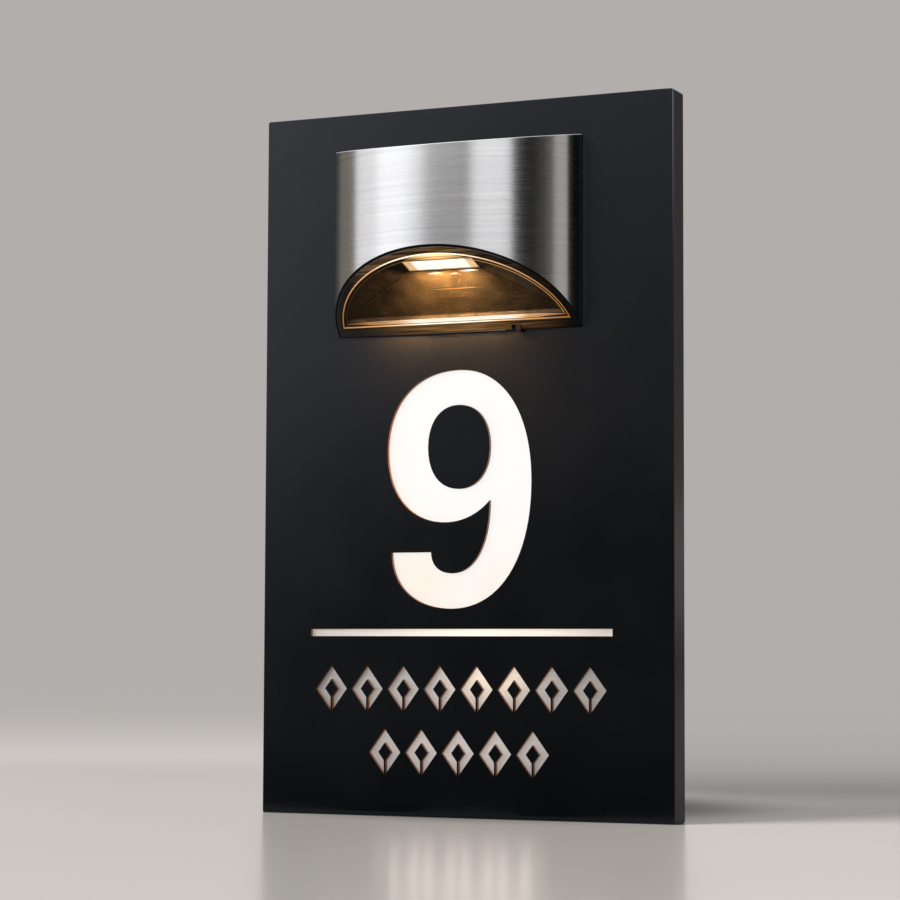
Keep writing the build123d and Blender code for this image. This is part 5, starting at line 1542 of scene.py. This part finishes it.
@dataclass
class MouthRim(LampPart):
    """Moulded bead round the lamp's open mouth, on the sloped plane that cuts the housing."""

    outer: float = 0.97 * MM  # inside the cover's face
    line: float = 0.1 * MM  # depth of the straight side at the back
    wall: float = 2.4 * MM
    bar: float = 3.7 * MM
    proud: float = 0.25 * MM
    sunk: float = 0.5 * MM  # how far it goes into the housing
    edge: float = 0.35 * MM
    hold: float = 0.05 * MM
    slot: Triple = (29.0 * MM, 2.45 * MM, 2.05 * MM)  # middle, half width and depth

    def loop(self, inset: float, line: float, notched: bool = False) -> np.ndarray:
        """Plan of the half ellipse closed by a straight line, counter-clockwise seen from below.

        Args:
            inset: How far inside the lamp's face it runs.
            line: Depth of the straight line.
            notched: Whether the line steps round the switch's slot.

        Returns:
            Distance to the centre line and depth of each point.
        """
        x, depth, _ = self.form.ellipse(inset, 241)
        keep = depth > line + 0.05 * MM
        a, b = self.form.half_width - inset, self.form.depth - inset
        corner = a * sqrt(max(0.0, 1 - (line / b) ** 2))
        parts = [np.array([[-corner, line]]), np.stack([x[keep], depth[keep]], axis=1), np.array([[corner, line]])]
        if notched:
            middle, half, deep = self.slot
            right, left = middle + half, middle - half
            parts.append(np.array([[right, line], [right, deep], [left, deep], [left, line]]))
        return counter_clockwise(np.concatenate(parts))

    def on_mouth(self, plan: np.ndarray, drop: float) -> np.ndarray:
        """Put plan points on the mouth's plane, which rises one for one with depth, or a drop below it."""
        lean = sqrt(0.5) * drop
        return self.form.place(plan[:, 0], plan[:, 1] + lean, plan[:, 1] - lean)

    def build(self) -> None:
        """Make the bead: a flat ring with rounded edges, sunk a little into the housing."""
        outside = self.loop(self.outer, self.line, True)
        within = self.loop(self.outer + self.wall, self.bar)
        profile = round_profile(self.edge, self.proud + self.sunk, self.hold)
        shell = Shell()
        for path, side in ((outside, -1), (within, 1)):
            shell.skin([self.on_mouth(grown(path, side * g), self.proud - d) for g, d in profile], flip=side < 0)
        face_out, face_in = grown(outside, -profile[0][0]), grown(within, profile[0][0])
        shell.flat(face_out, [face_in], lambda p: self.on_mouth(p, self.proud), flip=True)
        piece = shell.build("mouth_rim", [self.shelf["rim"]])


@dataclass
class ChamberLiner(LampPart):
    """Metallised skin of the light chamber: sloped back, flared sides, ceiling, front wall and mouth lip."""

    wall_inset: float = 5.15 * MM  # front wall inside the lamp's face
    gap: float = 0.06 * MM  # the skin stands this far inside the moulded chamber
    line: float = 4.9 * MM  # depth of the upright lip at the back
    window: Triple = (16.75 * MM, 16.0 * MM, 8.5 * MM)  # half width, back depth, slope length
    window_z: float = 27.0 * MM
    window_rise: float = tan(radians(20.5))
    corner: Triple = (54.0 * MM, 4.9 * MM, 7.7 * MM)
    side_reach: Triple = (42.0 * MM, 19.5 * MM, 23.5 * MM)
    crease: float = 0.3 * MM  # softness of the lines where two faces meet
    lip: float = 1.5 * MM
    lip_round: float = 0.3 * MM
    lip_sunk: float = 0.05 * MM
    recess: float = 0.85 * MM  # mouth of the chamber behind the housing's, measured upright
    rings: int = 46  # over the roof
    falls: int = 8  # down the wall
    rays: int = 320

    def height(self, x: np.ndarray, depth: np.ndarray) -> np.ndarray:
        """Height of the skin over a point of the plan.

        Four sloped planes meet over the chamber: the ceiling, the back and the two sides. The height is their
        smallest value, taken as a soft minimum so that the creases are a little round.

        Args:
            x: Distance to the centre line.
            depth: Depth from the lamp's back.

        Returns:
            Height above the lamp's base.
        """
        half, back, _ = self.window
        ceiling = self.window_z + (depth - back) * self.window_rise
        slope = (self.window_z - self.corner[2]) / (back - self.corner[1])
        rear = self.window_z + (depth - back) * slope
        top = np.array([half, back, self.window_z])
        normal = np.cross(np.array(self.side_reach) - top, np.array(self.corner) - top)
        side = self.window_z - (normal[0] * (np.abs(x) - half) + normal[1] * (depth - back)) / normal[2]
        planes = np.stack(np.broadcast_arrays(ceiling, rear, side))
        least = planes.min(axis=0)
        return least - self.crease * np.log(np.exp((least - planes) / self.crease).sum(axis=0)) - self.gap

    def boundary(self, bearing: np.ndarray) -> tuple[np.ndarray, np.ndarray, float]:
        """Where a ray in plan from the window's middle meets the window's edge and the chamber's wall.

        The window is a rectangle, so the nearer of its two pairs of sides is met first. The wall is an ellipse, met
        at the root of a quadratic, or the straight line at the back where that is nearer.

        Args:
            bearing: Direction of each ray.

        Returns:
            Distance to the window's edge, distance to the wall, and depth of the window's middle.
        """
        half, back, length = self.window
        half_depth = length * cos(atan2(self.window_rise, 1.0)) / 2
        centre = back + half_depth
        c, s = np.cos(bearing), np.sin(bearing)
        edge = np.minimum(half / np.maximum(np.abs(c), 1e-9), half_depth / np.maximum(np.abs(s), 1e-9))
        a = self.form.half_width - self.wall_inset
        b = self.form.depth - self.wall_inset
        p, q, r = (c / a) ** 2 + (s / b) ** 2, centre * s / b**2, (centre / b) ** 2 - 1
        wall = (-q + np.sqrt(q**2 - p * r)) / p
        behind = np.where(s < -1e-9, (self.line + self.gap - centre) / np.minimum(s, -1e-9), np.inf)
        return edge, np.minimum(wall, behind), centre

    def build(self) -> None:
        """Make the skin: rings between the window's edge and the wall, then down the wall and over the lip."""
        place, recess, bend = self.form.place, self.recess, self.lip_round
        bearing = np.linspace(0.0, 2 * pi, self.rays, endpoint=False)
        edge, wall, centre = self.boundary(bearing)
        away = edge + (wall - edge) * np.linspace(0.0, 1.0, self.rings)[:, None]
        x, depth = away * np.cos(bearing), centre + away * np.sin(bearing)
        roof = place(x, depth, self.height(x, depth))
        x, depth, high = x[-1], depth[-1], self.height(x[-1], depth[-1])
        down = np.linspace(0.0, 1.0, self.falls)[1:, None]
        fall = place(x, depth, high + (np.minimum(depth + recess + bend, high) - high) * down)
        bead = [(bend * (1 - cos(turn)), bend * (1 - sin(turn))) for turn in np.linspace(0.0, pi / 2, 5)[1:]]
        bead += [(0.6 * self.lip, 0.0), (self.lip, 0.0)]
        plan = np.stack([x, depth], axis=1)
        rows = [*roof, *fall]
        for growth, lift in bead:
            out = grown(plan, growth)
            rows.append(place(out[:, 0], out[:, 1], out[:, 1] + recess + lift - self.lip_sunk))
        shell = Shell()
        shell.skin(rows, flip=True)
        piece = shell.build("chamber_liner", [self.shelf["chamber"]], sharp=50.0)


def area_lamp(
    name: str, size: Pair, light: tuple[float, str], place: Vector, up: Vector, lit: Any = None
) -> bpy.types.Object:
    """Put a rectangular lamp that shines opposite to a direction.

    Args:
        name: Its name.
        size: Its width and height.
        light: Its brightness, as it would look in a mirror, and its colour.
        place: Its middle.
        up: Direction away from where it shines.
        lit: The pieces that it lights, or nothing for all.

    Returns:
        The lamp's object.
    """
    data = bpy.data.lights.new(name, "AREA")
    data.shape = "RECTANGLE"
    data.size, data.size_y = size
    data.energy = light[0] * pi * size[0] * size[1]
    data.color = linear(light[1])[:3]
    lamp = bpy.data.objects.new(name, data)
    bpy.context.collection.objects.link(lamp)
    lamp.matrix_world = Matrix.Translation(place) @ up.to_track_quat("Z", "Y").to_matrix().to_4x4()
    if lit is not None:
        reached = bpy.data.collections.new(name + "_reach")
        for piece in lit:
            reached.objects.link(piece)
        lamp.light_linking.receiver_collection = reached
    LOG.info("lamp %s", name)
    return lamp


@dataclass
class WindowFrame(LampPart):
    """Thin bright frame round the clear window, and the small lamp behind it that lights the chamber."""

    half_width: float = 16.75 * MM
    back: float = 16.0 * MM
    length: float = 8.5 * MM
    height: float = 27.0 * MM
    rise: float = radians(20.5)
    border: float = 0.7 * MM
    proud: float = 0.45 * MM
    sunk: float = 0.2 * MM
    corner: float = 0.25 * MM
    edge: Pair = (0.14 * MM, 0.03 * MM)  # round of the section's corners, and its hold
    glow: float = 2000.0
    warmth: str = "#ffc887"
    lamp_drop: float = 0.6 * MM
    lamp_share: Pair = (0.85, 0.7)  # of the window's width and length
    lit: tuple[str, ...] = ("chamber_liner", "light_chamber", "window_frame", "mouth_rim", "lamp_housing")
    spill_glow: float = 800.0
    spill_warmth: str = "#eaa660"
    spill_size: Pair = (60 * MM, 3 * MM)
    spill_at: Triple = (-10 * MM, 11 * MM, 10 * MM)  # from the centre line, the back and the base
    spill_away: Triple = (0.0, -0.6, 0.8)  # away from where it shines
    pool_glow: float = 0.9
    pool_warmth: str = "#fff0de"
    pool_size: Pair = (70 * MM, 30 * MM)
    pool_at: Triple = (0.0, -13 * MM, -131 * MM)  # just in front of the lit ornament
    pool_away: Triple = (0.0, 1.0, 0.25)

    def on_window(self, plan: np.ndarray, drop: Any) -> np.ndarray:
        """Put points given across and up the window's slope on its plane, or a drop below it."""
        across, along = plan[:, 0], plan[:, 1]
        depth = self.back + along * cos(self.rise) + drop * sin(self.rise)
        return self.form.place(across, depth, self.height + along * sin(self.rise) - drop * cos(self.rise))

    def build(self) -> None:
        """Make the frame: a rounded section carried round the window."""
        middle = (0.0, self.length / 2)
        corners = []
        for g, drop in ((0.0, -self.sunk), (0.0, self.proud), (self.border, self.proud), (self.border, -self.sunk)):
            size = (2 * (self.half_width + g), self.length + 2 * g)
            corners.append(self.on_window(rounded_rectangle(middle, *size, self.corner + g, 4), drop))
        rows = rounded_section(np.stack(corners), *self.edge)
        shell = Shell()
        shell.skin([*rows, rows[0]])
        piece = shell.build("window_frame", [self.shelf["gilt"]])
        self.build_lamps()

    def build_lamps(self) -> None:
        """Put a small warm lamp under the window, and a second one at the mouth for the light on the panel."""
        place = self.on_window(np.array([[0.0, self.length / 2]]), self.lamp_drop)[0]
        size = (2 * self.lamp_share[0] * self.half_width, self.lamp_share[1] * self.length)
        up = Vector((0.0, sin(self.rise), cos(self.rise)))
        self.small_lamp("window_light", size, (self.glow, self.warmth), Vector(place), up, self.lit)
        spill = (self.spill_glow, self.spill_warmth)
        place = Vector(self.form.place(*self.spill_at))
        self.small_lamp("mouth_light", self.spill_size, spill, place, Vector(self.spill_away), ("fascia_panel",))

    def build_pool(self) -> None:
        """Put a faint lamp in front of the ornament, for its light on the floor; the floor has to be there."""
        light, out = (self.pool_glow, self.pool_warmth), Vector(self.pool_away).normalized()
        self.small_lamp("ornament_light", self.pool_size, light, Vector(self.pool_at), out, ("studio_floor",))

    def small_lamp(self, name: str, size: Any, light: Any, place: Vector, up: Vector, lit: tuple[str, ...]) -> None:
        """Put an unseen lamp that lights only the pieces named for it, so that the studio's floor stays neutral.

        Args:
            name: Its name.
            size: Its width and height.
            light: Its brightness and colour.
            place: Its middle.
            up: Direction away from where it shines.
            lit: Names of the pieces that it lights.
        """
        lamp = area_lamp(name, size, light, place, up, [bpy.data.objects[piece] for piece in lit])
        lamp.visible_camera = lamp.visible_transmission = False


@dataclass
class LitEdges(LampPart):
    """The chamber's bright edges, their light painted as a glow: two fine beads round the mouth, the band over the
    bar and the window's face.
    """

    beads: tuple[tuple[str, float, float, float, float, str], ...] = (
        ("gilt_bead", 3.66 * MM, 3.95 * MM, 0.22 * MM, -0.10 * MM, "lit_edge"),
        ("inner_bead", 5.20 * MM, 4.85 * MM, 0.13 * MM, -0.60 * MM, "inner_edge"),
    )  # name, inset, depth of the straight side, radius, drop below the mouth's plane, finish
    seam_span: Pair = (-20 * MM, 23.5 * MM)
    seam_steps: int = 31
    seam_at: Pair = (0.9 * MM, -0.05 * MM)  # depth and height
    seam_radius: float = 0.14 * MM
    band_half: float = 53.0 * MM
    band_steps: int = 61
    band: tuple[Pair, ...] = ((5.02, 6.2), (5.02, 5.8), (4.86, 5.50), (4.66, 5.30), (3.9, 4.6))
    # depth and height of the band's profile in millimetres
    band_taper: Triple = (0.6, 0.4, 0.75)  # share of the half width where it starts, its length and its depth
    crease_radius: float = 0.12 * MM
    crease_steps: int = 24
    creases: tuple[Triple, Triple] = ((16.9, 16.15, 26.35), (53.2, 5.25, 7.5))  # from and to, in millimetres
    bulge: float = 0.15 * MM  # of the window's face
    bulge_base: float = 0.02 * MM
    bulge_inset: float = 0.05 * MM
    bulge_steps: tuple[int, int] = (41, 13)  # across and up the window

    def finish(self, shell: Shell, name: str, material: bpy.types.Material) -> None:
        """Make one of the chamber's edges from its shell."""
        shell.build(name, [material])

    def build(self) -> None:
        """Make the beads, the creases, the seam, the band and the window's face.

        A bead, a crease or the seam is a small circle carried along a line.
        """
        place, rim = self.form.place, MouthRim(self.shelf)
        for name, inset, line, radius, drop, key in self.beads:
            path = rim.loop(inset, line)
            shell = Shell()
            rows = tube(lambda u, v: rim.on_mouth(grown(path, u), drop + v), radius)
            shell.skin(rows, flip=True, closed=name == "gilt_bead")
            self.finish(shell, name, self.shelf[key])
        start, end = np.array(self.creases) * MM
        x, depth, height = (start + (end - start) * np.linspace(0.0, 1.0, self.crease_steps)[:, None]).T
        shell = Shell()
        for side in (-1, 1):
            rows = tube(lambda u, v: place(side * x + u, depth + v, height), self.crease_radius)
            shell.skin(rows, closed=False, flip=side > 0)
        self.finish(shell, "crease_lines", self.shelf["crease"])
        x = np.linspace(*self.seam_span, self.seam_steps)
        reach, low = self.seam_at
        shell = Shell()
        shell.skin(tube(lambda u, v: place(x, reach + u, low + v), self.seam_radius), closed=False)
        self.finish(shell, "seam_line", self.shelf["seam"])
        self.build_band()
        self.build_face()

    def build_band(self) -> None:
        """Make the band: a bent profile carried along X, which thins with the square of the way to its two ends."""
        x = np.linspace(-self.band_half, self.band_half, self.band_steps)
        profile = np.array(self.band) * MM
        start, span, share = self.band_taper
        taper = 1 - share * np.clip((np.abs(x) / self.band_half - start) / span, 0.0, 1.0) ** 2
        lowest = profile[-2, 1]
        shell = Shell()
        shell.skin([self.form.place(x, d, lowest + (z - lowest) * taper) for d, z in profile], True, closed=False)
        self.finish(shell, "lip_band", self.shelf["lit_band"])

    def build_face(self) -> None:
        """Make the window's face, which bulges by one minus the fourth power of the distance to its middle."""
        across = np.linspace(-1.0, 1.0, self.bulge_steps[0])[None, :]
        along = np.linspace(0.0, 1.0, self.bulge_steps[1])[:, None]
        bulge = self.bulge * (1 - across**4) * (1 - (2 * along - 1) ** 4) + self.bulge_base
        frame = WindowFrame(self.shelf)
        half = frame.half_width - self.bulge_inset
        plan = np.stack(np.broadcast_arrays(half * across, frame.length * along), axis=-1).reshape(-1, 2)
        shell = Shell()
        shell.skin(frame.on_window(plan, bulge.reshape(-1)).reshape(*bulge.shape, 3), closed=False)
        shell.build("window_face", [self.shelf["washed_lens"]])


# ---- CAD pieces that keep their own mesh

FINISH_OF = {
    "opal": "number_diffuser",
    "backing": "steel_backing",
    "white": "light_box",
    "white_board": "number_led_board",
    "small_chips": "number_leds",
    "plug": "number_plug charge_plug",
    "zinc": "weld_studs stud_nuts clinch_nuts strip_screws lamp_screws board_screws",
    "galvanised": "wall_plate",
    "stainless": "tray_screws rear_cover_screws",
    "housing": "lamp_housing rear_cover",
    "chamber": "light_chamber",
    "lens": "led_window",
    "lit_board": "led_strip",
    "chips": "lamp_leds",
    "glass": "solar_glass",
    "cell": "solar_cell",
    "rubber": "rear_seal grommet",
    "brass": "lamp_inserts",
    "foam": "lamp_gasket",
    "green_board": "charge_board",
    "component": "board_components",
    "switch": "battery_cradle switch_body",
    "wrap": "battery",
    "nickel": "battery_contact battery_spring",
    "red": "switch_slider",
    "cable": "link_cable",
}  # each finish, with the nodes that get it


def dress_nodes(shelf: Shelf) -> None:
    """Put the finish of each CAD node that stays as it is on its object.

    Args:
        shelf: The finishes.
    """
    for key, nodes in FINISH_OF.items():
        for node in nodes.split():
            for slot in bpy.data.objects[node].material_slots:
                slot.link = "OBJECT"
                slot.material = shelf[key]
            LOG.info("%s gets %s", node, key)


# ---- the studio


@dataclass
class SoftBox:
    """A rectangular lamp that faces the sign from a bearing; its glow is set as it would look in a mirror."""

    name: str
    bearing: float  # degrees from straight in front, to the viewer's right
    rise: float  # degrees above the sign's middle
    away: float  # metres from the sign's middle
    width: float
    height: float
    glow: float
    colour: str = "#ffffff"
    mirrored: bool = True  # whether polished faces show it
    lights: Reach = Reach.SIGN

    def build(self) -> None:
        """Make the lamp."""
        turn, lift = radians(self.bearing), radians(self.rise)
        out = Vector((sin(turn) * cos(lift), -cos(turn) * cos(lift), sin(lift)))
        floor = self.lights is Reach.FLOOR
        meshes = [piece for piece in bpy.data.objects if piece.type == "MESH"]
        lit = [piece for piece in meshes if (piece.name == "studio_floor") == floor]
        size, light = (self.width, self.height), (self.glow, self.colour)
        lamp = area_lamp(self.name, size, light, out * self.away, out, None if self.lights is Reach.ALL else lit)
        lamp.visible_glossy = self.mirrored


def stage_surface(name: str, x: Any, y: Any, z: Any, closed: bool, finish: Finish, upward: bool = False) -> Any:
    """Make a surface of the studio from a grid of points.

    Args:
        name: Its name.
        x: X of the points; the three are spread over the same grid.
        y: Y of the points.
        z: Z of the points.
        closed: Whether the grid's second direction joins up with itself.
        finish: Its finish.
        upward: Whether its faces are turned to face up.

    Returns:
        The new object.
    """
    grid = np.stack(np.broadcast_arrays(x, y, z), axis=-1)
    points, faces = grid.reshape(-1, 3), strip_faces(*grid.shape[:2], closed)
    first = points[faces[0]]
    if upward and np.cross(first[1] - first[0], first[2] - first[0])[2] < 0:
        faces = faces[:, ::-1]
    mesh = bpy.data.meshes.new(name)
    mesh.from_pydata(points.tolist(), [], faces.tolist())
    surface = bpy.data.objects.new(name, mesh)
    bpy.context.collection.objects.link(surface)
    mesh.materials.append(finish.build())
    surface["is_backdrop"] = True
    return surface


def only_mirrored(card: bpy.types.Object) -> None:
    """Let only polished faces show a card."""
    card.visible_camera = card.visible_shadow = card.visible_diffuse = card.visible_transmission = False


@dataclass
class BlackCard:
    """A card near the sign, which only polished faces show: it keeps their dark parts dark."""

    name: str
    bearing: float  # degrees from straight in front, to the viewer's right
    away: float
    half_angle: float  # degrees that it covers to each side
    low: float
    high: float
    tone: str = "#000000"
    steps: int = 9

    def build(self) -> None:
        """Make an upright card bent round the sign: bearing grows with one parameter and height with the other."""
        span = (self.bearing - self.half_angle, self.bearing + self.half_angle)
        bearing = np.radians(np.linspace(*span, self.steps))
        x, y = self.away * np.sin(bearing)[None, :], -self.away * np.cos(bearing)[None, :]
        height = np.array([self.low, self.high])[:, None]
        paint = CardPaint("flock_" + self.name, tone=self.tone)
        only_mirrored(stage_surface(self.name, x, y, height, False, paint))


@dataclass
class Studio:
    """Floor, lamps, world and camera."""

    floor_z: float = -160.5 * MM
    floor_reach: float = 6.0
    floor_steps: tuple[int, int] = (24, 96)  # rings, and points on each
    backdrop: str = "#b2aeab"
    ambient: float = 0.12
    ambient_colour: str = "#fff8f0"
    camera_place: Triple = (0.48549, -1.12123, -0.08757)
    camera_turn: float = 0.4179  # radians to the left
    camera_lift: float = 0.0754
    camera_roll: float = 0.0038
    camera_lens: float = 108.0
    boxes: tuple[SoftBox, ...] = (
        SoftBox("key_box", -52.5, 22.0, 1.30, 1.24, 1.10, 1.03),
        SoftBox("key_core", -45.5, 22.0, 1.28, 0.48, 1.00, 0.62),
        SoftBox("fill_box", -21.5, 31.0, 1.70, 0.86, 0.90, 0.72),
        SoftBox("right_box", 14.5, 24.0, 1.75, 0.82, 1.10, 1.50),
        SoftBox("edge_box", 92.0, 12.0, 1.30, 0.64, 1.20, 0.215, "#fff0e0"),
        SoftBox("top_box", -10.0, 72.0, 1.60, 1.40, 1.20, 0.36, lights=Reach.ALL),
        SoftBox("shadow_box", -42.0, 24.0, 3.40, 2.00, 0.90, 50.0, "#fffdfb", False, Reach.FLOOR),
    )
    cards: tuple[BlackCard, ...] = (
        BlackCard("card_right", 41.0, 0.95, 11.0, -0.06, 1.20),
        BlackCard("card_right_grey", 57.5, 0.95, 5.5, -0.06, 1.20, "#444341"),
        BlackCard("card_right_light", 68.0, 0.95, 5.0, -0.06, 1.20, "#6c6967"),
        BlackCard("card_low_left", -21.0, 1.00, 15.0, -0.13, 0.08),
        BlackCard("card_behind", 160.0, 1.00, 5.6, 0.03, 1.20),
        BlackCard("card_floor_right", 149.0, 1.00, 21.0, -0.16, -0.095, "#54524f"),
        BlackCard("card_far_left", -100.0, 1.20, 21.0, -0.06, 1.20, "#8f8479"),
    )
    flag_span: float = 75.0  # degrees that the black flag covers to each side, in front of the sign
    flag_near: float = 0.03  # it lies from here
    flag_far: float = 1.00  # to here
    flag_lift: float = 2 * MM
    flag_steps: tuple[int, int] = (3, 25)

    def build(self) -> None:
        """Make the floor, the world, the lamps and the camera."""
        self.lay_floor()
        self.fill_world()
        for box in self.boxes:
            box.build()
        for card in self.cards:
            card.build()
        self.lay_flag()
        self.place_camera()
        bpy.context.scene.view_settings.view_transform = "Standard"

    def lay_floor(self) -> None:
        """Lay a round floor as a grid of rings: radius grows with one parameter, bearing with the other."""
        rings, turns = self.floor_steps
        radius = self.floor_reach * np.linspace(0.0, 1.0, rings)[:, None] ** 2
        bearing = np.linspace(0.0, 2 * pi, turns, endpoint=False)[None, :]
        paint = FloorCard("floor_laminate_warm_grey", backdrop=self.backdrop)
        x, y = radius * np.cos(bearing), radius * np.sin(bearing)
        stage_surface("studio_floor", x, y, self.floor_z, True, paint)

    def lay_flag(self) -> None:
        """Lay a black flag in front of the sign, which only polished faces show: bearing and reach span it."""
        rows, turns = self.flag_steps
        bearing = np.radians(np.linspace(-self.flag_span, self.flag_span, turns))[None, :]
        reach = np.linspace(self.flag_near, self.flag_far, rows)[:, None]
        x, y, z = reach * np.sin(bearing), -reach * np.cos(bearing), self.floor_z + self.flag_lift
        paint = CardPaint("card_flock_black_flag", one_sided=True)
        only_mirrored(stage_surface("floor_flag", x, y, z, False, paint, upward=True))

    def fill_world(self) -> None:
        """Fill the world: the backdrop's tone where it is seen or mirrored, a dim level as light."""
        world = bpy.data.worlds.new("studio_world")
        bpy.context.scene.world = world
        world.use_nodes = True
        nodes = Nodes()
        nodes.tree = world.node_tree
        shown: Any = 0.0
        for ray in ("Is Camera Ray", "Is Glossy Ray", "Is Transmission Ray"):
            shown = nodes.add("Math", [shown, nodes.add("LightPath", output=ray)], operation="MAXIMUM")
        light = nodes.add("Background", [self.ambient_colour, self.ambient])
        tone = nodes.add("Background", [self.backdrop, 1.0])
        nodes.feed("World Output", {"Surface": nodes.add("MixShader", [shown, light, tone])})

    def place_camera(self) -> None:
        """Put the camera where the photograph was taken from."""
        data = bpy.data.cameras.new("photo_camera")
        data.lens = self.camera_lens
        data.sensor_width = 36.0
        data.clip_start = 0.05
        camera = bpy.data.objects.new("photo_camera", data)
        bpy.context.collection.objects.link(camera)
        camera.matrix_world = (
            Matrix.Translation(self.camera_place)
            @ Matrix.Rotation(self.camera_turn, 4, "Z")
            @ Matrix.Rotation(pi / 2 + self.camera_lift, 4, "X")
            @ Matrix.Rotation(self.camera_roll, 4, "Z")
        )
        bpy.context.scene.camera = camera


def main() -> None:
    """Build and dress the sign, then its studio."""
    logging.basicConfig(level=logging.INFO, format="%(name)s: %(message)s")
    shelf = Shelf()
    dress_nodes(shelf)
    for assembly in (Fascia, LampCover, MouthRim, ChamberLiner, WindowFrame, LitEdges):
        assembly(shelf).build()
        LOG.info("%s is built", assembly.__name__)
    Studio().build()
    WindowFrame(shelf).build_pool()
    boxes = [[list(corner) for corner in box] for box in (CAD_BOUNDS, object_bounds())]


if __name__ == "__main__":
    main()
